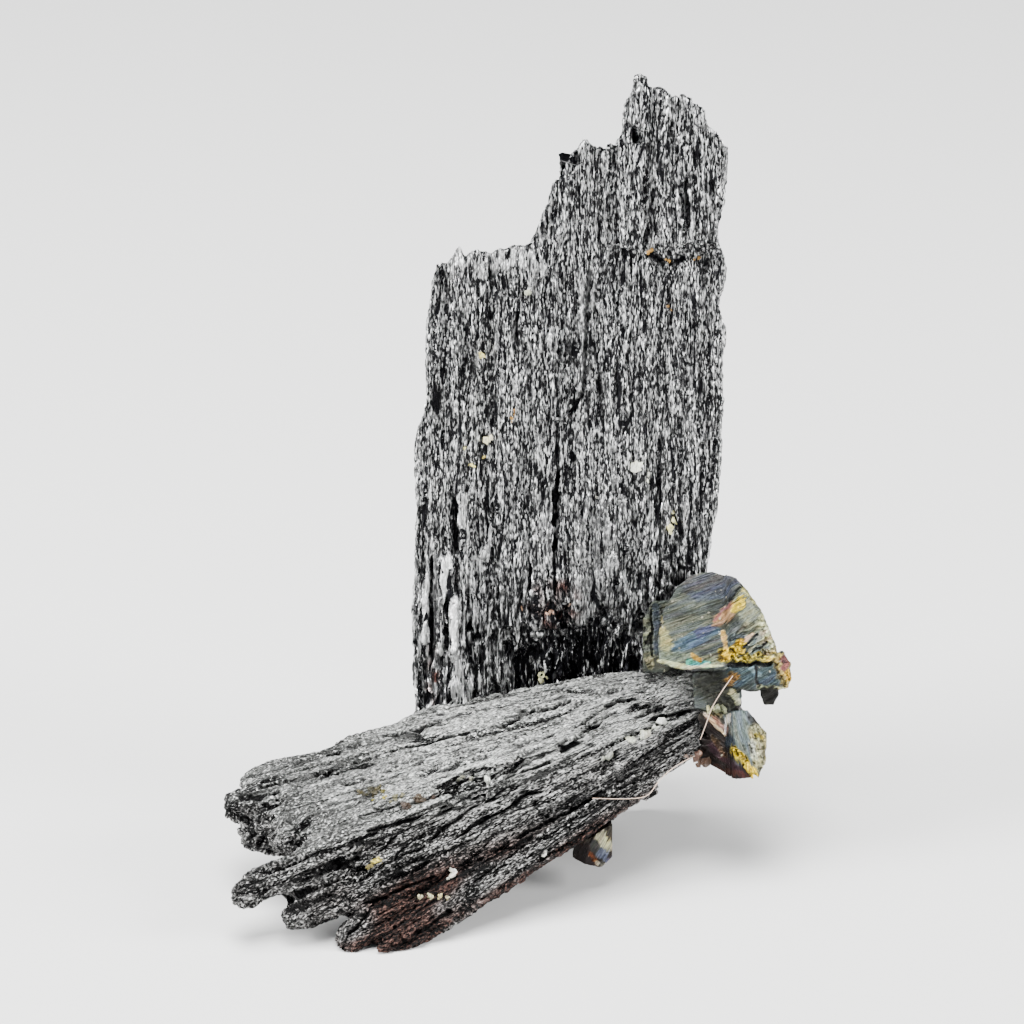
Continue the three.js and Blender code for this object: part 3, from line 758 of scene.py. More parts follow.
def tallStain(points, grain, normals):
    # a rusty patch above the hollow, and a little at the lower left edge
    rust = np.zeros(len(points))
    for right, up, wide, high, soft in tallBlade["rust"]:
        away = np.hypot((grain[:, 0] - right) / wide, (grain[:, 2] - up) / high)
        rust = np.maximum(rust, 1 - smoothStep(soft, 1.2, away))
    blotch = smoothStep(-0.5, 0.4, softNoise(grain, (0.6, 0.8, 0.9), 36))
    return rust * blotch * 0.95, np.ones(len(points))


def topShare(points):
    # 1 on the fan's top, 0 on its front, back and tips
    look = fanBlade["top"]
    below = look["height"] + look["right"] * points[:, 0] + look["back"] * points[:, 1] - points[:, 2]
    below += softNoise(points, (0.7, 0.7, 0.7), 64) * 0.3
    reach = smoothStep(*fanBlade["widerTop"], points[:, 0])
    return 1 - smoothStep(0.3 + 0.3 * reach, 1.1 + 1.9 * reach, below)


def fanStainAndLitTop(points, grain, normals):
    # the top gets the colours of a painted lit top, and the low front is rusty brown
    top = topShare(points) * smoothStep(0.0, 0.5, normals[:, 2])
    blotch = smoothStep(-0.8, 0.2, softNoise(grain, (1.5, 1.5, 4), 61))
    look = fanBlade["rusty"]
    height = look["up"] + look["slope"] * (points[:, 0] - look["at"])
    low = 1 - smoothStep(height - 0.6, height + 1.6, points[:, 2])
    low *= smoothStep(*look["starts"], points[:, 0])
    return low * blotch * (1 - top) * 0.95, top


def fanForms(points, grain, normals):
    # uneven laths, lumps at their tips, and the pockets
    look = fanBlade
    axis = np.array(Vector(look["grainAxis"]).normalized())
    tip = smoothStep(0.15, 0.8, -(normals @ axis))
    rise = softNoise(grain, (0.8, 0.8, 4), 42) * look["swell"]
    rise -= np.abs(softNoise(grain, (1.8, 1.8, 7), 43)) * look["swell"]
    rise += softNoise(grain, (0.8, 0.8, 1.0), 44) * look["swell"] * (0.3 + 0.4 * tip)
    return points + normals * (rise + fanPockets(points, grain))[:, None]


def fanPockets(points, grain):
    look = fanBlade
    jitter = softNoise(grain, (0.3, 0.3, 1.2), 45) * 1.3
    return strokes(points, look["pockets"], jitter, look["frontWay"])[0]


def fanCracks(points, grain, top):
    look = fanBlade
    jitter = softNoise(grain, (0.24, 0.24, 0.6), 46) * 0.5 + softNoise(grain, (0.6, 0.6, 1.6), 71) * 0.4
    wander = np.stack([softNoise(grain, (0.8, 0.8, 1.6), 47 + axis) for axis in range(3)], axis=1) * 0.14
    topWay = (-look["top"]["right"], -look["top"]["back"], 1)
    onTop = strokes(points + wander, look["topCracks"], jitter, topWay)[0]
    onFront = strokes(points + wander, look["frontCracks"], jitter, look["frontWay"])[0]
    openShare = smoothStep(-0.6, -0.3, softNoise(grain, (0.7, 0.7, 1.8), 72))
    return onTop * smoothStep(0.0, 0.3, top) * (0.45 + 0.55 * openShare) + onFront * openShare


def narrow(values, low, high):
    # 1 along the line where the values change sign
    return 1 - smoothStep(low, high, np.abs(values))


def fanSplits(bent, grain, top):
    # long, short and slanted cracks along the laths, and the raised lips of the long ones
    long = softNoise(bent, (1.5, 1.5, 16), 55)
    openShare = smoothStep(-0.5, -0.1, softNoise(grain, (1.6, 1.6, 8), 56))
    crack = narrow(long, 0.04, 0.12) * openShare
    lip = smoothStep(0.1, 0.16, np.abs(long)) * (1 - smoothStep(0.2, 0.45, np.abs(long))) * openShare
    short = softNoise(bent, (0.75, 0.75, 6), 57)
    openShare = smoothStep(-0.05, 0.25, softNoise(grain, (1.2, 1.2, 4), 58) + (1 - top) * 0.4)
    shortCrack = narrow(short, 0.05, 0.15) * openShare * (0.85 - 0.15 * top)
    crack = np.maximum(crack * (1 - 0.2 * top), shortCrack)
    slanted = bent + np.outer(bent[:, 2], (fanBlade["slant"], fanBlade["slant"], 0))
    dash = narrow(softNoise(slanted, (0.5, 0.5, 1.5), 60), 0.1, 0.24)
    dash *= smoothStep(0.0, 0.3, softNoise(grain, (0.5, 0.5, 0.8), 62)) * (1 - 0.35 * top)
    return np.maximum(crack, dash * 0.65), lip


def fanShade(points, grain, top):
    # how dark it is: low on the front, towards the tips, and along its far edge
    look = fanBlade
    far = look["farEdge"]
    right, back, up = points.T
    front = 1 - top
    shade = front * (0.05 + 0.4 * (1 - smoothStep(*look["darkBelow"], up)))
    shade = np.maximum(shade, (0.62 + 0.14 * top) * (1 - smoothStep(*look["darkLeft"], right)))
    edge = back - far["back"] - (right - far["at"]) * far["slope"]
    behind = smoothStep(-0.2, 0.2, edge) * (1 - smoothStep(*far["ends"], right))
    shade = np.maximum(shade, 0.4 * behind)
    shade = np.maximum(shade, 0.6 * (1 - smoothStep(*look["darkLeftFront"], right)) * front)
    return shade * (1 + 0.4 * softNoise(grain, (0.8, 0.8, 2.5), 65))


def fanRelief(points, grain):
    look = fanBlade
    top = topShare(points)
    front = 1 - top
    bent = warped(grain, 41, 0.12)
    ribs = -np.abs(softNoise(bent, (1.5, 1.5, 24), 51)) * look["ribs"] * 1.4
    ribs += softNoise(bent, (3.2, 3.2, 15), 52) * look["ribs"]
    fine = softNoise(bent, (0.5, 0.5, 3.5), 53) * look["fineRibs"] * (1.5 - top)
    inside, own = cellNoise(bent, look["grainSize"], 54)
    gap = 1 - smoothStep(0.02, 0.36, inside)
    bumps = (-gap * 0.7 + (own - 0.5)) * look["grains"] * (1.3 - 0.6 * top)
    crack, lip = fanSplits(bent, grain, top)
    marked = fanCracks(points, grain, top)
    groove = narrow(softNoise(bent, (0.6, 0.6, 10), 63), 0.05, 0.22) * front
    cleft = smoothStep(0.6, 0.8, softNoise(bent, (0.8, 0.8, 6), 59)) * front
    height = ribs + fine + bumps + marked + lip * look["lips"] + look["outset"]
    height -= crack * look["cracks"] + cleft * look["clefts"] + groove * look["grooves"]
    # the deepest cracks are painted black as shade
    deep = np.clip(-marked * 5.5 - 0.7, 0, 1)

    # the pockets are painted dark as shade, with a few lighter grains in them
    sunk = np.clip(-fanPockets(points, grain) * 1.8, 0, 1)
    value = cellNoise(grain, (0.3, 0.3, 0.7), 66)[1]
    height += sunk * (value - 0.6) * 0.2
    # cracks, clefts and grooves are painted dark as shade too
    dark = np.maximum(crack, sunk * (1.1 - value * 0.5))
    dark = np.maximum(dark, np.maximum(cleft * 0.55, groove * 0.6))
    gap = np.maximum(gap * (0.75 - 0.25 * top), dark)
    gap = np.maximum(gap, 0.1 + 0.7 * fanShade(points, grain, top))
    none = np.zeros(len(grain))
    return height, gap, own * (1 - 0.4 * top) + 0.2 * top, none, none, deep


def roughened(piece, grainOf, reliefOf, stainAndTopOf, shape=None):
    mesh = piece.data
    points = pointsOf(mesh) / mm
    grain = grainOf(points)
    normals = normalsOf(mesh)
    height, gap, own, coarse, calm, crack = reliefOf(points, grain)
    stain, top = stainAndTopOf(points, grain, normals)
    if shape is not None:
        height = height + shape(grain)
    setPoints(mesh, (points + normals * height[:, None]) * mm)
    keptInside(mesh, "black_blades")
    storeVectors(mesh, "grain", grain)
    storeNumbers(mesh, gap=gap, own=own, coarse=coarse, calm=calm, crack=crack, stain=stain, top=top)
    mesh.shade_smooth()


def seamDive(side):
    # sinks the half that lies under the other one past the line where they meet
    def dive(grain):
        wander = softNoise(grain * np.array([0, 0, 1]), (1, 1, 3), 71) * 0.2
        past = (grain[:, 0] - tallBlade["seam"] - wander) * side
        return -0.9 * smoothStep(-0.15, 1.2, past)
    return dive


def makeBlades():
    left, right, fan = partedBlades()
    say("blades parted")

    # the fan's parting face goes back into the tall blade
    local = pointsOf(fan.data)
    inBlade = tallGrain(local / mm)
    back = inBlade[:, 1] > -fanBlade["parting"] - 0.02
    local[back] += intoBlade() * fanBlade["rooted"] * mm
    setPoints(fan.data, local)

    axis = Vector(fanBlade["grainAxis"]).normalized()
    toGrain = axis.rotation_difference(Vector((0, 0, 1))).to_matrix().to_4x4()
    for piece, look, toward, grainOf, forms in ((left, tallBlade, tallFrame(), tallGrain, tallForms),
                                                (right, tallBlade, tallFrame(), tallGrain, tallForms),
                                                (fan, fanBlade, toGrain, fanGrain, fanForms)):
        mesh = evenlyMeshed(piece, toward, look["stretch"], look["roughVoxel"], smooth=2)
        points = pointsOf(mesh) / mm
        setPoints(mesh, forms(points, grainOf(points), normalsOf(mesh)) * mm)
        evenlyMeshed(piece, toward, look["stretch"], look["voxel"], smooth=2)
        keepLargest(piece.data)
    say("blades meshed")

    roughened(left, tallGrain, tallRelief, tallStain, seamDive(1))
    roughened(right, tallGrain, tallRelief, tallStain, seamDive(-1))
    roughened(fan, fanGrain, fanRelief, fanStainAndLitTop)
    say("blades roughened")

    # both materials paint glints, a lit top and shade in the gaps and cracks into the colour
    sparkling = blackMineral("black blade with painted glints", tallShine)
    matt = blackMineral("black laths with painted light", fanShine)
    for piece, material, front in ((left, sparkling, -intoBlade()), (right, sparkling, -intoBlade()),
                                   (fan, matt, fanBlade["front"])):
        piece.data.materials.append(material)
        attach(piece, "root")
        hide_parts("black_blades")
        lightened(piece, front, mostTriangles)
        print(piece.name, sum(len(face.vertices) - 2 for face in piece.data.polygons), "triangles")
    say("blades lightened")
    return left, right, fan


# the black mineral's colours: the bright ones are painted glints, the side colours paint the shaded front
# and the others the lit top; the tall blade takes the top colours all over
tallShine = {
    "dark": (0.003, 0.003, 0.004),
    "dull": (0.022, 0.0225, 0.023),
    "bright": (0.95, 0.955, 0.95),
    "shadedSideDull": (0.022, 0.0225, 0.023),
    "shadedSideBright": (0.95, 0.955, 0.95),
    "metallic": 0.9,
    "roughness": 0.32,
    "specular": 0.5,
    "wormSize": (0.1, 0.13, 0.52),
    "coarseSize": (0.18, 0.26, 1.3),
    "wormRange": (0.46, 0.58),   # which part of the pattern goes from dark to bright
    "topWormRange": (0.46, 0.58),
    "paintedGlint": (0.54, 0.62),       # and which part still shines down in a gap
    "lines": [((0.8, 1.2, 8), 0.07, 0.5), ((0.3, 0.6, 2.4), 0.12, 0.53)],
    "topLines": 1.0,
    "jog": 0.1,
    "streakSize": (0.25, 0.5, 3.5),
    "streaks": 0.9,
    "fineSize": (0.12, 0.2, 0.4),
    "speck": (0.45, 1.2),
    "tilt": 0.45,
    "bump": 0.25,
    "crackDepth": 0.6,
    "stain": (0.24, 0.085, 0.06),
}

fanShine = {
    "dark": (0.002, 0.002, 0.002),
    "dull": (0.14, 0.144, 0.136),
    "bright": (0.86, 0.87, 0.84),
    "shadedSideDull": (0.018, 0.018, 0.0175),
    "shadedSideBright": (0.72, 0.71, 0.69),
    "metallic": 0.7,
    "roughness": 0.4,
    "specular": 0.25,
    "wormSize": (0.09, 0.09, 0.26),
    "coarseSize": (0.09, 0.09, 0.26),
    "wormRange": (0.45, 0.57),
    "topWormRange": (0.4, 0.56),
    "paintedGlint": (0.57, 0.66),
    # for each set of cracks: size across, into and along the laths, width, and where they close
    "lines": [((1.3, 1.3, 16), 0.04, 0.42), ((0.6, 0.6, 5), 0.06, 0.5), ((0.35, 0.35, 1.5), 0.08, 0.57)],
    "topLines": 0.9,
    "jog": 0.12,
    "streakSize": (0.22, 0.22, 2.6),
    "streaks": 0.7,
    "fineSize": (0.1, 0.1, 0.16),
    "speck": (0.5, 1.15),
    "tilt": 0.4,
    "bump": 0.28,
    "crackDepth": 1.0,
    "stain": (0.15, 0.064, 0.046),
}


def fineCracks(shader, grain, look):
    # thin ragged cracks along the grain, open here and closed there, painted dark as shade and pressed in
    # by the bump
    jog = shader.noise(shader.scaled(grain, (0.3, 0.3, 0.4)), detail=2)
    jog = shader.mapRange(jog, 0.3, 0.7, -look["jog"], look["jog"])
    sideways = shader.node("ShaderNodeCombineXYZ", {"X": jog, "Y": jog}).outputs[0]
    ragged = shader.vector("ADD", grain, sideways)
    cracks = 0.0
    for size, width, openFrom in look["lines"]:
        field = shader.noise(shader.scaled(ragged, size), detail=0)
        away = shader.math("ABSOLUTE", shader.math("SUBTRACT", field, 0.5))
        breaks = shader.noise(shader.scaled(grain, [part * 0.7 for part in size]), detail=1)
        crack = shader.mapRange(away, width * 0.4, width, 1.0, 0.0)
        crack = shader.times(crack, shader.mapRange(breaks, openFrom, openFrom + 0.06))
        cracks = shader.math("MAXIMUM", crack, cracks)
    return cracks


def blackMineral(name, look):
    shader = Shader(name)
    grain = shader.attribute("grain")
    gap, own, top, stain = (shader.attribute(kind, "Fac") for kind in ("gap", "own", "top", "stain"))
    calm, coarse, crack = (shader.attribute(kind, "Fac") for kind in ("calm", "coarse", "crack"))
    lines = shader.mapRange(top, 0.0, 1.0, 1.0, look["topLines"])
    cracks = shader.math("MAXIMUM", crack, shader.times(fineCracks(shader, grain, look), lines))

    # fine grains, and a splintery pattern that is coarser where the grains are
    wobble = shader.spread(shader.noise(shader.scaled(grain, (0.4, 0.4, 1.2)), detail=1))
    cells = shader.cells(shader.vector("ADD", shader.scaled(grain, look["fineSize"]), wobble))
    speck = shader.mapRange(shader.part(cells, 1), 0.0, 1.0, *look["speck"])
    worms = shader.noise(shader.scaled(grain, look["wormSize"]), detail=2, rough=0.55)
    splinters = shader.noise(shader.scaled(grain, look["coarseSize"]), detail=3, rough=0.6)
    worms = shader.mix(shader.times(coarse, 0.7), worms, splinters)
    height = shader.math("SUBTRACT", worms, shader.times(cracks, look["crackDepth"]))
    normal = shader.facing(height, look["bump"], cells, (look["tilt"],) * 3)

    # how bright each place is: the bright end is a painted glint, and the top takes lit colours and the
    # front shaded ones
    side = shader.mapRange(worms, *look["wormRange"])
    share = shader.mix(top, side, shader.mapRange(worms, *look["topWormRange"]))
    share = shader.math("ADD", shader.mapRange(own, 0.0, 1.0, -0.25, 0.25), share)
    streak = shader.noise(shader.scaled(grain, look["streakSize"]), detail=2)
    streak = shader.mapRange(streak, 0.3, 0.7, -look["streaks"] / 2, look["streaks"] / 2)
    share = shader.math("ADD", share, streak, clamp=True)
    share = shader.mix(shader.times(calm, 0.5), shader.times(share, speck), own)
    dull = shader.mix(top, look["shadedSideDull"], look["dull"])
    bright = shader.mix(top, look["shadedSideBright"], look["bright"])
    colour = shader.mix(share, dull, bright)
    colour = shader.mix(stain, colour, shader.mix(share, look["dark"], look["stain"]))

    # the gaps and cracks are painted dark as shade, and in the gaps a few grains still shine with a
    # painted glint
    gap = shader.times(gap, shader.mapRange(worms, *look["paintedGlint"], 1.0, 0.2))
    gap = shader.math("MAXIMUM", shader.mapRange(gap, 0.1, 0.8), cracks)
    colour = shader.mix(gap, colour, look["dark"])
    shader.set(baseColor=colour, roughness=look["roughness"], specular=look["specular"], normal=normal,
               metallic=look["metallic"])
    return shader.material


# the pyrites: crystals with striated faces, tarnished in patches, and crusts of golden grains

crystals = {
    "at": (17.22, 4.14, 19.0),   # their own frame stands here, x right, y back, z up
    "tilt": -25,                 # and leans back by this
    "deepen": 3.0,               # how much darker and stronger the dark tints get
}


def mark(start, end, width, colour=None, share=0.9, rise=0, crust=0, calm=0):
    # a stroke on a crystal's front, between places right and up: it may tint, raise or crust the surface;
    # a sunken one is also painted dark as shade
    return {"path": (start, end), "width": width, "colour": colour, "share": share,
            "rise": rise, "crust": crust, "calm": calm}


upperPyrite = {
    "name": "upperPyrite",
    "node": "upper_pyrite",
    "voxel": 0.07,
    "outset": 0.04,
    "turn": (20, 34),            # which way the striations rise, left and right of the ridge
    "ridgeAt": 1.0,
    "striations": 0.05,
    "pulls": [
        # axis, from where to where it grows, by how much, below which height: closes the joints
        (0, 0.3, -1.2, -0.45, -2.6),
        (2, -5.2, -5.9, -0.25, -2.6),
    ],
    "pitch": (2.6, 0.24),        # how long and how wide one is
    "terraces": 0.1,
    "terraceSize": (4.5, 0.9),
    "facets": 0.05,
    "crustGrain": 0.34,
    "colour": (0.405, 0.415, 0.39),
    "marks": [
        mark((-2.0, 4.6), (2.6, 4.5), 2.0, (0.40, 0.39, 0.42), 0.7),
        mark((-1.6, 3.4), (1.8, 3.9), 1.1, (0.38, 0.40, 0.46), 0.7),
        mark((-3.8, 0.4), (-0.7, 1.0), 2.0, (0.50, 0.51, 0.47), 0.8),
        mark((-3.2, -0.9), (0.1, 0.7), 1.2, (0.42, 0.49, 0.55), 0.85),
        mark((-1.3, 0.3), (0.0, 0.9), 0.8, (0.45, 0.42, 0.55), 0.6),
        mark((-4.3, 0.6), (-4.0, -0.9), 1.1, (0.72, 0.69, 0.52)),
        mark((-4.2, -1.6), (0.5, -1.9), 0.9, (0.58, 0.60, 0.52), 0.8, crust=0.03),
        mark((-2.1, -2.1), (-0.5, -2.35), 0.5, (0.45, 0.88, 0.82), 0.8, crust=0.05),
        mark((-1.9, -1.5), (-1.2, -1.9), 0.35, (0.85, 0.66, 0.30), 0.8, crust=0.05),
        mark((-4.7, -2.0), (-2.0, -2.55), 0.3, (0.86, 0.86, 0.70), rise=0.05),
        mark((-2.0, -2.55), (0.65, -2.3), 0.3, (0.86, 0.86, 0.70), rise=0.05),
        mark((0.3, 1.2), (1.6, 2.5), 1.1, (0.80, 0.64, 0.50), rise=0.1),
        mark((0.1, 1.4), (1.3, 2.7), 0.3, (0.62, 0.42, 0.45), 0.8),
        mark((2.7, 3.1), (4.0, -0.2), 2.8, (0.62, 0.62, 0.54), 0.85),
        mark((1.7, 2.4), (2.2, 2.9), 0.8, (0.96, 0.84, 0.30), 0.95, rise=0.14, calm=1),
        mark((4.0, 1.6), (5.2, -0.9), 1.3, (0.88, 0.86, 0.70), 0.85, crust=0.05),
        mark((2.4, 3.9), (3.7, 2.7), 0.5, (0.86, 0.82, 0.56), crust=0.05),
        mark((2.2, 4.2), (1.2, 2.9), 0.35, rise=-0.14),
        mark((1.8, 0.4), (3.6, 1.3), 0.3, rise=-0.12),
        mark((1.7, -0.4), (4.0, -1.1), 1.5, (0.46, 0.50, 0.50), 0.8, crust=0.06),
        mark((1.2, -0.2), (4.2, 0.9), 0.3, rise=-0.16),
        mark((2.6, -1.2), (4.4, -0.2), 0.25, rise=-0.14),
        mark((2.2, -0.7), (3.2, 0.2), 0.35, (0.88, 0.74, 0.60), rise=0.1),
        mark((2.9, -1.1), (4.1, -0.3), 0.3, (0.80, 0.78, 0.68), rise=0.08),
        # near-black strokes in the grooves between the ledges: painted shadow
        mark((2.3, -1.0), (3.6, 0.1), 0.22, (0.14, 0.14, 0.15), rise=-0.16),
        mark((3.3, -1.3), (4.5, -0.5), 0.22, (0.14, 0.14, 0.15), rise=-0.16),
        mark((0.7, 0.5), (1.0, -1.4), 0.4, (0.88, 0.72, 0.44), rise=0.06),
        mark((1.0, -1.4), (2.1, -0.9), 1.2, (1.0, 0.85, 0.18), 0.95, rise=0.1, crust=0.16),
        mark((1.8, -1.9), (5.3, -1.6), 0.8, (0.97, 0.86, 0.40), crust=0.16),
        mark((4.2, -1.2), (5.2, -1.6), 0.6, (0.95, 0.90, 0.76), crust=0.1),
        # a near-black stroke in the groove under the crust: painted shadow
        mark((1.3, -2.3), (4.8, -2.25), 0.4, (0.06, 0.06, 0.07), 0.95, rise=-0.3),
        mark((1.9, -3.3), (4.8, -3.1), 2.1, (0.33, 0.38, 0.40), 0.97, calm=1),
        mark((3.1, -2.7), (3.6, -3.2), 0.6, (0.58, 0.66, 0.70), 0.8, calm=1),
        mark((3.4, -2.6), (3.6, -4.2), 0.3, (0.07, 0.09, 0.11), 0.8, rise=-0.1),
        mark((1.0, -3.8), (1.6, -3.3), 0.9, (0.62, 0.46, 0.22), crust=0.06),
        mark((5.6, -2.0), (6.2, -4.2), 1.5, (0.80, 0.70, 0.44), crust=0.13),
        mark((5.7, -1.7), (6.0, -2.6), 0.6, (0.60, 0.38, 0.38), crust=0.08),
        mark((6.2, -2.9), (6.25, -3.4), 0.7, (0.92, 0.74, 0.26), crust=0.1),
        mark((3.6, -4.2), (5.7, -4.3), 0.4, (0.80, 0.80, 0.64), 0.85, crust=0.08),
        mark((4.4, -4.9), (5.2, -5.2), 1.8, (0.14, 0.13, 0.09), 0.95),
        mark((-5.6, -1.1), (-5.2, 2.1), 2.0, (0.46, 0.46, 0.40), 0.8, crust=0.1),
        mark((-5.6, 0.1), (-5.4, 0.4), 0.5, (0.74, 0.73, 0.60), crust=0.06),
        mark((-5.5, -1.4), (-5.3, -2.6), 0.6, (0.70, 0.69, 0.58), 0.8, crust=0.08),
        mark((-4.4, 1.4), (-4.3, 1.2), 0.4, (0.85, 0.78, 0.62)),
        mark((-4.8, 2.6), (-4.75, -1.3), 0.55, (0.37, 0.39, 0.41), calm=1),
        mark((-5.15, 2.2), (-5.1, -1.6), 0.16, rise=-0.3),
        mark((-0.4, -3.8), (0.7, -5.2), 2.4, (0.24, 0.24, 0.20), crust=0.06),
        mark((1.5, -4.5), (2.0, -5.6), 0.7, (0.78, 0.76, 0.64), rise=0.1),
    ],
}

lowerPyrite = {
    "name": "lowerPyrite",
    "node": "lower_pyrite",
    "voxel": 0.055,
    "outset": 0.03,
    "turn": (-38, -72),
    "ridgeAt": 1.2,
    "striations": 0.05,
    "pulls": [(2, -7.6, -6.5, 0.3, 0), (0, 0.2, -1.4, -0.45, 0)],
    "pitch": (1.8, 0.2),
    "terraces": 0.07,
    "terraceSize": (3.0, 0.7),
    "facets": 0.05,
    "crustGrain": 0.3,
    "colour": (0.34, 0.32, 0.29),
    "marks": [
        mark((-0.8, -8.2), (1.7, -11.3), 3.2, (0.20, 0.15, 0.13)),
        mark((-0.2, -9.0), (2.2, -11.5), 0.8, (0.38, 0.24, 0.30), 0.6),
        mark((-0.2, -8.2), (0.9, -9.8), 0.5, (0.45, 0.34, 0.12), 0.5, crust=0.05),
        mark((0.1, -10.9), (3.1, -11.7), 0.6, (0.46, 0.27, 0.20), 0.6),
        mark((1.9, -6.2), (2.7, -9.8), 2.3, (0.52, 0.55, 0.54), 0.95),
        mark((1.2, -8.6), (1.5, -9.0), 0.8, (0.26, 0.31, 0.36), 0.8),
        mark((-0.3, -6.6), (0.85, -7.7), 0.9, (0.68, 0.54, 0.50)),
        mark((-0.7, -6.4), (0.8, -8.2), 0.28, (0.92, 0.82, 0.70), rise=0.05),
        mark((1.2, -6.3), (0.8, -8.1), 0.28, (0.86, 0.82, 0.78), rise=0.05),
        mark((3.6, -8.0), (4.1, -10.7), 1.7, (0.84, 0.80, 0.64), crust=0.09),
        mark((3.1, -8.8), (3.5, -9.9), 0.6, (0.97, 0.95, 0.86), crust=0.1),
        mark((3.4, -8.2), (3.8, -8.3), 0.5, (0.76, 0.68, 0.32), crust=0.08),
        mark((1.7, -9.2), (3.2, -11.5), 0.8, (1.0, 0.86, 0.24), 0.95, rise=0.05, crust=0.15),
        mark((-0.7, -6.0), (0.5, -6.3), 0.7, (0.66, 0.62, 0.50), crust=0.1),
    ],
}

smallPyrite = {
    "name": "smallPyrite",
    "node": "small_pyrite",
    "voxel": 0.05,
    "outset": 0.03,
    "turn": (60, 60),
    "ridgeAt": -9.5,
    "striations": 0.05,
    "pulls": [],
    "pitch": (1.6, 0.25),
    "terraces": 0.12,
    "terraceSize": (2.0, 0.9),
    "facets": 0.09,
    "crustGrain": 0.3,
    "colour": (0.32, 0.29, 0.26),
    "marks": [
        mark((-11.0, -17.9), (-10.5, -18.3), 2.0, (0.17, 0.08, 0.06), 0.95, calm=1),
        mark((-10.2, -18.0), (-10.0, -18.3), 0.6, (0.52, 0.31, 0.14), crust=0.05),
        mark((-9.5, -16.7), (-9.0, -17.4), 1.2, (0.86, 0.83, 0.68), 0.95),
        mark((-10.0, -17.1), (-9.8, -17.6), 0.7, (0.30, 0.30, 0.28)),
        mark((-9.2, -17.9), (-9.0, -18.6), 0.9, (0.48, 0.49, 0.56)),
        mark((-9.8, -18.7), (-9.2, -19.0), 0.5, (0.84, 0.80, 0.74), crust=0.1),
    ],
}


def bentRows(own):
    # so that the crust's grains stand in no straight rows
    return own + np.stack([softNoise(own, (0.5, 0.5, 0.5), 91 + k) for k in range(3)], 1) * 0.12


def crystalTurn():
    return np.array(Matrix.Rotation(math.radians(crystals["tilt"]), 3, "X"))


def crystalRelief(own, front, look):
    # height, tint and gaps of a crystal's surface at points in the crystals' own frame
    split = smoothStep(-0.4, 0.4, own[:, 0] - look["ridgeAt"])
    angle = np.radians(look["turn"][0] * (1 - split) + look["turn"][1] * split)
    along = own[:, 0] * np.cos(angle) + own[:, 2] * np.sin(angle)
    across = -own[:, 0] * np.sin(angle) + own[:, 2] * np.cos(angle)
    grain = np.stack([across, own[:, 1], along], 1)
    flat = own[:, [0, 2]] + np.stack([softNoise(own, (0.7, 0.7, 0.7), 80 + k) for k in (0, 9)], 1) * 0.16
    wobble = softNoise(grain, (0.14, 0.4, 0.8), 81) * 0.8 + softNoise(own, (1.1, 1.1, 1.1), 82) * 0.4
    height = np.full(len(own), look["outset"])
    length, width = look["pitch"]
    fine = -np.abs(softNoise(grain, (width, 1.2, length), 83))
    fine += softNoise(grain, (width * 2.3, 2, length * 2), 84) * 0.8
    ledgeLong, ledgeWide = look["terraceSize"]
    ledge = smoothStep(-0.12, 0.12, softNoise(grain, (ledgeWide, 2.5, ledgeLong), 85))
    value = cellNoise(own, (0.9, 0.9, 0.9), 86)[1]
    surface = fine * look["striations"] + (ledge - 0.6) * look["terraces"]
    surface += (value - 0.6) * look["facets"]
    grainInside, grainValue = cellNoise(bentRows(own), (look["crustGrain"],) * 3, 87)
    openShare = smoothStep(-0.4, 0.4, softNoise(own, (0.5, 0.5, 0.5), 90))
    pit = 1 - smoothStep(0.18, 0.3, grainValue)
    grainGap = np.maximum((1 - smoothStep(0.02, 0.25, grainInside)) * openShare, pit)
    tint = np.tile(np.array(look["colour"], float), (len(own), 1))
    tint *= (1 + 0.25 * softNoise(own, (1.4, 1.4, 1.4), 88))[:, None]
    gap = np.zeros(len(own))
    crust = np.zeros(len(own))
    calm = np.zeros(len(own))
    for one in look["marks"]:
        width = one["width"]
        distance = fromPath(flat, one["path"], np.zeros(2)) + wobble * min(width * 0.3, 0.35)
        share = (1 - smoothStep(width * 0.3, width * 0.58, distance)) * front
        if one["colour"]:
            weight = (share * one["share"])[:, None]
            tint = tint * (1 - weight) + np.array(one["colour"]) * weight
        height += share * one["rise"]
        crust = np.maximum(crust * (1 - share), share * one["crust"])
        calm = np.maximum(calm, share * one["calm"])
        # sunken strokes are painted dark as shade
        if one["rise"] < 0:
            gap = np.maximum(gap, share * 0.6)
    height += surface * (1 - 0.8 * calm)
    height += crust * (grainValue * 1.6 - 0.5 - grainGap * 0.8)
    # the gaps and pits between the crust's grains are painted dark as shade
    gap = np.maximum(gap, grainGap * np.clip(crust / 0.1, 0, 1) * 0.85)
    return height, grain, tint, gap, np.clip(crust / 0.1, 0, 1) * (0.5 + grainValue * 0.5)


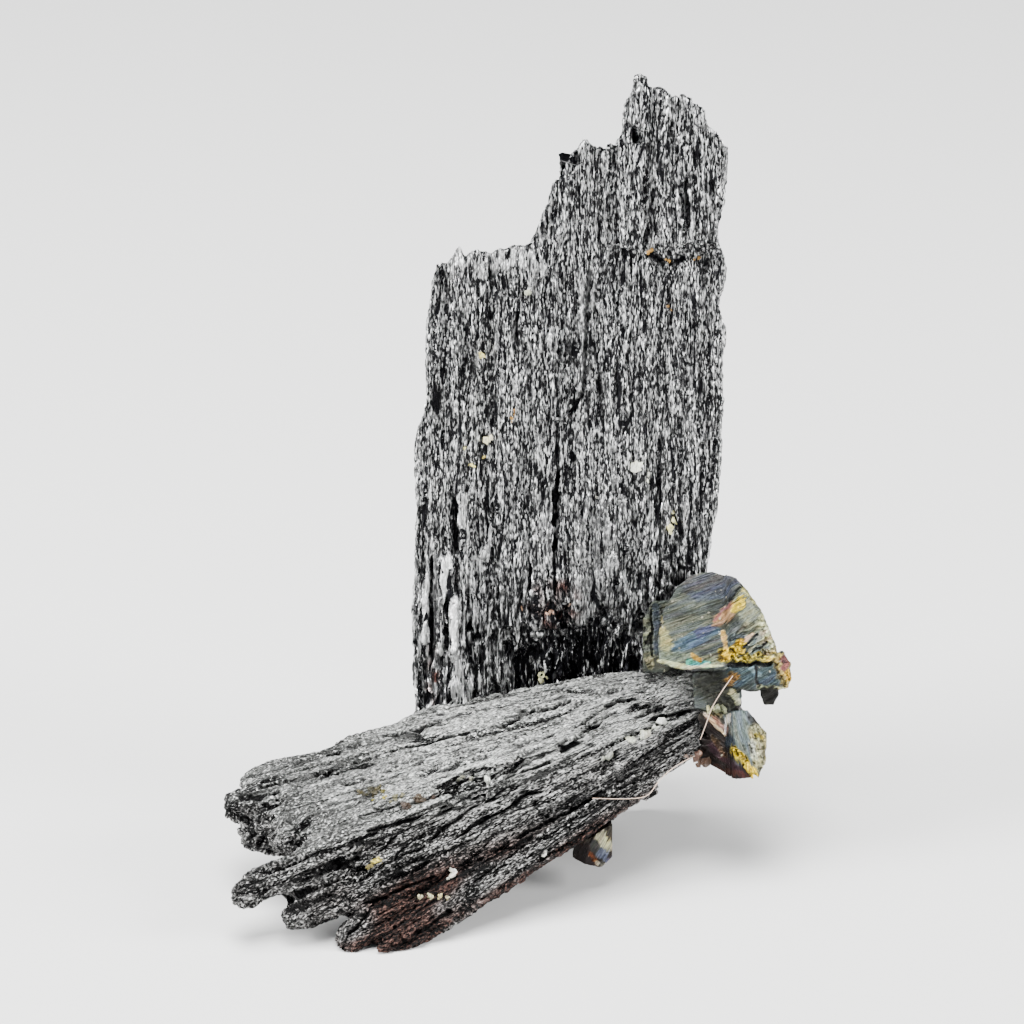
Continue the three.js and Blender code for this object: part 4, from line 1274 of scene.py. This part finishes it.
def makePyrite(look, material):
    piece = newObject(look["name"], meshFrom(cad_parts[look["node"]].data))
    mesh = evenlyMeshed(piece, Matrix.Identity(4), 1, look["voxel"], smooth=1)
    points = pointsOf(mesh) / mm
    turn = crystalTurn()
    own = (points - np.array(crystals["at"])) @ turn
    for axis, start, end, amount, below in look["pulls"]:
        share = smoothStep(start, end, own[:, axis]) * smoothStep(below + 0.01, below - 0.5, own[:, 2])
        own[:, axis] += amount * share
    points = own @ turn.T + np.array(crystals["at"])
    setPoints(mesh, points * mm)
    normals = normalsOf(mesh)
    front = smoothStep(-0.05, 0.3, -(normals @ turn)[:, 1])
    height, grain, tint, gap, spark = crystalRelief(own, front, look)
    setPoints(mesh, (points + normals * height[:, None]) * mm)
    keptInside(mesh, look["node"])
    storeVectors(mesh, "grain", grain)
    storeVectors(mesh, "tint", np.clip(tint, 0, 1) ** crystals["deepen"])
    storeNumbers(mesh, gap=gap, spark=spark)
    mesh.shade_smooth()
    mesh.materials.append(material)
    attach(piece, "root")
    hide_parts(look["node"])
    print(piece.name, len(mesh.polygons), "faces")


pyriteShine = {
    "brightness": 0.66,
    "metallic": 0.7,
    "roughness": 0.3,
    "streakSize": (0.09, 0.3, 1.4),
    "streaks": (0.3, 1.9),
    "film": [(0.25, (0.8, 0.5, 0.8)), (0.4, (0.5, 0.65, 1.0)), (0.5, (0.6, 0.8, 0.78)),
             (0.6, (0.85, 0.85, 0.55)), (0.75, (0.95, 0.62, 0.52))],
    "filmShare": 0.4,
    "fleckSize": 0.16,
    "flecks": (0.25, 0.24, 0.18),
    "dark": (0.003, 0.003, 0.003),
    "tilt": 0.4,
    "bump": 0.1,
}


def pyriteMetal(name, look):
    shader = Shader(name)
    grain = shader.attribute("grain")
    tint = shader.attribute("tint", "Color")
    gap, spark = (shader.attribute(kind, "Fac") for kind in ("gap", "spark"))
    streak = shader.noise(shader.scaled(grain, look["streakSize"]), detail=3, rough=0.6)
    cells = shader.cells(shader.scaled(grain, (look["fleckSize"],) * 3))
    speck = shader.part(cells, 0)

    # the tint under a film whose colour changes in bands, made lighter and darker along the striations as
    # painted light and shade
    bands = shader.noise(shader.scaled(grain, (0.5, 0.9, 2.6)), detail=2)
    film = shader.mix(look["filmShare"], (0.75, 0.75, 0.75), shader.ramp(bands, look["film"]))
    strength = shader.times(shader.mapRange(streak, 0.3, 0.7, *look["streaks"]), look["brightness"])
    strength = shader.times(strength, shader.mapRange(speck, 0.0, 1.0, 0.8, 1.2))
    colour = shader.vector("MULTIPLY", shader.vector("MULTIPLY", tint, film), shader.spread(strength))
    fleck = shader.times(shader.mapRange(speck, 0.985, 0.992), shader.mapRange(bands, 0.45, 0.6))
    colour = shader.mix(fleck, colour, look["flecks"])
    # painted shade in the gaps
    colour = shader.mix(gap, colour, look["dark"])
    tilt = shader.times(shader.math("ADD", spark, 0.25), look["tilt"])
    normal = shader.facing(streak, look["bump"], cells, shader.spread(tilt))
    shader.set(baseColor=colour, roughness=look["roughness"], metallic=look["metallic"], normal=normal)
    return shader.material


def makePyrites(metal):
    for look in (upperPyrite, lowerPyrite, smallPyrite):
        makePyrite(look, metal)
    say("pyrites made")


# small chips that sit on the blades or fill the joints, and two hairs

chips = {
    "deepen": 1.7,               # how much darker and stronger the tints get
    "spark": 0.6,
    # a heap of chips sits where a line from the front through its place meets a blade
    "tall": [
        # right, height along the blade, size, colour, how many
        (1.6, 47.8, 0.4, (0.72, 0.73, 0.62), 4),
        (-2.3, 42.4, 0.42, (0.98, 0.88, 0.50), 4),
        (-1.5, 35.2, 0.5, (0.98, 0.93, 0.72), 3),
        (-3.5, 34.4, 0.22, (0.90, 0.86, 0.50), 2),
        (-2.9, 33.0, 0.4, (0.95, 0.86, 0.42), 3),
        (-2.0, 33.6, 0.26, (0.70, 0.60, 0.26), 2),
        (0.5, 37.7, 0.3, (0.50, 0.33, 0.12), 3),
        (0.4, 36.7, 0.26, (0.55, 0.38, 0.16), 2),
        (10.9, 32.8, 0.6, (0.90, 0.90, 0.82), 6),
        (11.6, 32.2, 0.45, (0.95, 0.94, 0.86), 4),
        (7.4, 30.2, 0.3, (0.86, 0.86, 0.80), 2),
        (13.7, 28.2, 0.55, (0.96, 0.92, 0.60), 3),
        (13.6, 27.2, 0.4, (0.92, 0.88, 0.55), 2),
        (3.0, 14.4, 0.38, (0.86, 0.84, 0.60), 6),
        (11.6, 51.2, 0.3, (0.56, 0.38, 0.14), 3),
        (13.2, 50.5, 0.26, (0.56, 0.38, 0.14), 3),
        (15.4, 50.6, 0.24, (0.50, 0.34, 0.15), 2),
        (13.2, 46.6, 0.26, (0.48, 0.34, 0.18), 2),
        (1.2, 20.6, 0.3, (0.62, 0.46, 0.36), 3),
        (3.6, 20.0, 0.3, (0.56, 0.40, 0.32), 4),
        (5.2, 20.8, 0.26, (0.66, 0.52, 0.44), 3),
    ],
    "fan": [
        # right, back, up, size, colour, how many
        (12.1, -0.5, 13.0, 0.7, (0.95, 0.95, 0.88), 4),
        (13.0, -0.2, 13.2, 0.6, (0.95, 0.95, 0.88), 3),
        (11.4, -1.4, 12.6, 0.6, (0.70, 0.70, 0.62), 4),
        (10.4, -1.8, 12.3, 0.55, (0.66, 0.66, 0.57), 5),
        (8.1, -3.0, 11.4, 0.6, (0.58, 0.58, 0.52), 5),
        (-12.1, -5.9, 9.5, 0.3, (0.17, 0.15, 0.08), 7),
        (-11.6, -6.3, 9.6, 0.3, (0.13, 0.12, 0.07), 8),
        (-11.3, -5.7, 9.7, 0.3, (0.13, 0.12, 0.07), 8),
        (-10.9, -6.3, 9.7, 0.32, (0.15, 0.13, 0.07), 8),
        (-10.7, -5.6, 9.8, 0.3, (0.20, 0.18, 0.10), 7),
        (-10.3, -6.1, 9.8, 0.26, (0.34, 0.31, 0.14), 5),
        (-11.0, -7.1, 9.5, 0.24, (0.55, 0.50, 0.16), 3),
        (-10.2, -6.8, 9.6, 0.24, (0.60, 0.54, 0.18), 3),
        (-9.2, -7.4, 9.7, 0.4, (0.36, 0.34, 0.24), 5),
        (-8.4, -8.4, 9.5, 0.45, (0.15, 0.11, 0.08), 7),
        (-7.2, -7.5, 9.8, 0.45, (0.18, 0.14, 0.10), 7),
        (-6.2, -7.6, 9.9, 0.4, (0.15, 0.11, 0.09), 7),
        (-4.0, -5.5, 10.8, 0.4, (0.50, 0.49, 0.42), 4),
        (-3.1, -5.2, 10.7, 0.4, (0.56, 0.55, 0.48), 4),
        (-1.6, -5.7, 10.8, 0.42, (0.92, 0.92, 0.84), 2),
        (-11.2, -11.6, 5.9, 0.28, (0.48, 0.42, 0.22), 6),
        (-10.8, -11.4, 6.2, 0.3, (0.70, 0.62, 0.22), 8),
        (-10.4, -11.3, 6.2, 0.28, (0.56, 0.50, 0.24), 7),
        (-4.5, -10.6, 4.9, 0.42, (0.92, 0.90, 0.84), 3),
        (-4.5, -10.8, 4.5, 0.42, (0.92, 0.90, 0.80), 4),
        (-7.6, -12.5, 3.4, 0.28, (0.60, 0.58, 0.44), 4),
        (-6.3, -12.2, 3.3, 0.34, (0.74, 0.70, 0.52), 5),
        (-7.0, -12.3, 3.4, 0.26, (0.70, 0.66, 0.50), 4),
        (-5.5, -12.2, 3.4, 0.32, (0.80, 0.72, 0.50), 4),
        (-4.9, -12.3, 3.3, 0.26, (0.66, 0.60, 0.44), 4),
        (3.1, -8.8, 5.6, 0.36, (0.92, 0.91, 0.88), 4),
    ],
    "joint": [
        # in the crystals' own frame: right, back, up, size, colour, how many
        (-0.5, -1.9, -6.0, 0.36, (0.62, 0.60, 0.42), 4),
        (0.6, -1.7, -6.2, 0.45, (0.34, 0.35, 0.25), 4),
        (1.9, -0.9, -6.1, 0.55, (0.05, 0.045, 0.035), 3),
        (-1.5, -0.4, -8.9, 0.55, (0.05, 0.04, 0.03), 5),
        (-1.4, -0.6, -9.8, 0.5, (0.36, 0.26, 0.21), 4),
        (-0.8, -0.9, -10.3, 0.5, (0.24, 0.17, 0.13), 4),
        (-2.1, -0.6, -9.7, 0.4, (0.55, 0.45, 0.40), 4),
    ],
}

chipShine = {
    "brightness": 1.15,
    "metallic": 0.25,
    "filmShare": 0.15,
    "streaks": (0.7, 1.25),
}

hairs = {
    "colour": (0.5, 0.37, 0.29),
    "thick": 0.06,
    "fineness": 900,             # how often the colour changes in a metre
    "bent": [
        # in the crystals' own frame
        [(1.5, -2.3, -3.2), (0.6, -2.5, -4.4), (-0.3, -2.4, -5.9), (-0.6, -2.2, -6.9),
         (-1.2, -2.0, -8.5)],
        [(-1.6, -0.9, -9.9), (-3.2, -1.7, -10.6), (-4.7, -2.6, -11.9), (-5.4, -3.4, -13.0),
         (-6.3, -3.9, -13.3), (-8.3, -4.7, -13.3), (-10.2, -5.4, -13.2)],
    ],
}


def onBlade(place, blades):
    # where a line from the front through the place meets a blade
    start = cameraPlace()
    found = []
    for blade in blades:
        hit, spot, normal, face = blade.ray_cast(start, (Vector(place) * mm - start).normalized())
        if hit:
            found.append(((spot - start).length, spot / mm, normal))
    return min(found, key=lambda one: one[0])[1:]


def chip(middle, normal, size, random):
    # one small crystal with flat faces, flatter along the normal
    grid = bmesh.new()
    stretch = Vector([random.uniform(0.55, 1.15) for axis in range(3)]) * size / 2
    angle = random.uniform(0, 6.3)
    turn = Matrix.Rotation(angle, 3, Vector([random.uniform(-1, 1) for axis in range(3)]))
    for corner in range(13):
        way = turn @ (Vector([random.gauss(0, 1) for axis in range(3)]).normalized() * stretch)
        grid.verts.new(Vector(middle) + way - normal * way.dot(normal) * 0.45)
    made = bmesh.ops.convex_hull(grid, input=grid.verts)
    bmesh.ops.delete(grid, geom=list(set(made["geom_interior"] + made["geom_unused"])), context="VERTS")
    grid.verts.index_update()
    corners = [tuple(vert.co) for vert in grid.verts]
    faces = [tuple(vert.index for vert in face.verts) for face in grid.faces]
    grid.free()
    return corners, faces


def makeChips(blades, material):
    random = Random(7)
    corners, faces, tints = [], [], []

    def heap(middle, normal, size, colour, count):
        for step in range(count):
            spread = Vector([random.gauss(0, 1) for axis in range(3)]) * size * (0.5 if step else 0)
            spread -= normal * spread.dot(normal) * 0.7
            place = middle + spread + normal * size * 0.25
            own, sides = chip(place, normal, size * random.uniform(1.1, 1.8), random)
            faces.extend(tuple(index + len(corners) for index in side) for side in sides)
            corners.extend(own)
            shade = random.uniform(0.8, 1.08)
            tints.extend([[min(channel * shade, 1) for channel in colour]] * len(own))

    lean = math.radians(tallBlade["lean"])
    for right, height, *kind in chips["tall"]:
        place = (right, tallBlade["footFront"] + height * math.sin(lean), height * math.cos(lean))
        heap(*onBlade(place, blades), *kind)
    for right, back, up, *kind in chips["fan"]:
        heap(*onBlade((right, back, up), blades), *kind)
    turn = Matrix(crystalTurn())
    for right, back, up, size, colour, count in chips["joint"]:
        middle = Vector(crystals["at"]) + turn @ Vector((right, back, up))
        heap(middle, Vector((0, 0, 0)), size * 1.3, colour, count)
    mesh = bpy.data.meshes.new("chips")
    mesh.from_pydata([Vector(corner) * mm for corner in corners], [], faces)
    storeVectors(mesh, "grain", np.array(corners))
    storeVectors(mesh, "tint", np.array(tints) ** chips["deepen"])
    storeNumbers(mesh, gap=np.zeros(len(corners)), spark=np.full(len(corners), chips["spark"]))
    mesh.materials.append(material)
    piece = newObject("chips", mesh)
    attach(piece, "root")


def makeHairs():
    shader = Shader("pale hair")
    place = shader.node("ShaderNodeTexCoord").outputs["Object"]
    colour = shader.mix(shader.noise(place, hairs["fineness"]),
                        hairs["colour"], tuple(channel * 1.5 for channel in hairs["colour"]))
    shader.set(baseColor=colour, roughness=0.4)
    turn = Matrix(crystalTurn())
    for number, places in enumerate(hairs["bent"]):
        curve = bpy.data.curves.new("hair", "CURVE")
        curve.dimensions = "3D"
        curve.bevel_depth = hairs["thick"] / 2 * mm
        curve.bevel_resolution = 2
        curve.use_fill_caps = True
        spline = curve.splines.new("NURBS")
        spline.points.add(len(places) - 1)
        spline.use_endpoint_u = True
        spline.order_u = 3
        for point, place in zip(spline.points, places):
            point.co = (*((Vector(crystals["at"]) + turn @ Vector(place)) * mm), 1)
        strand = newObject("strand", curve)
        bpy.context.view_layer.update()
        depsgraph = bpy.context.evaluated_depsgraph_get()
        mesh = bpy.data.meshes.new_from_object(strand.evaluated_get(depsgraph))
        bpy.data.objects.remove(strand)
        mesh.materials.append(shader.material)
        piece = newObject(f"hair{number + 1}", mesh)
        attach(piece, "root")


makeCamera()
makeStudio()
blades = makeBlades()
metal = pyriteMetal("tarnished pyrite", pyriteShine)
makePyrites(metal)
makeChips(blades, pyriteMetal("bright chips", {**pyriteShine, **chipShine}))
makeHairs()

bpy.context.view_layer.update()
say("done")
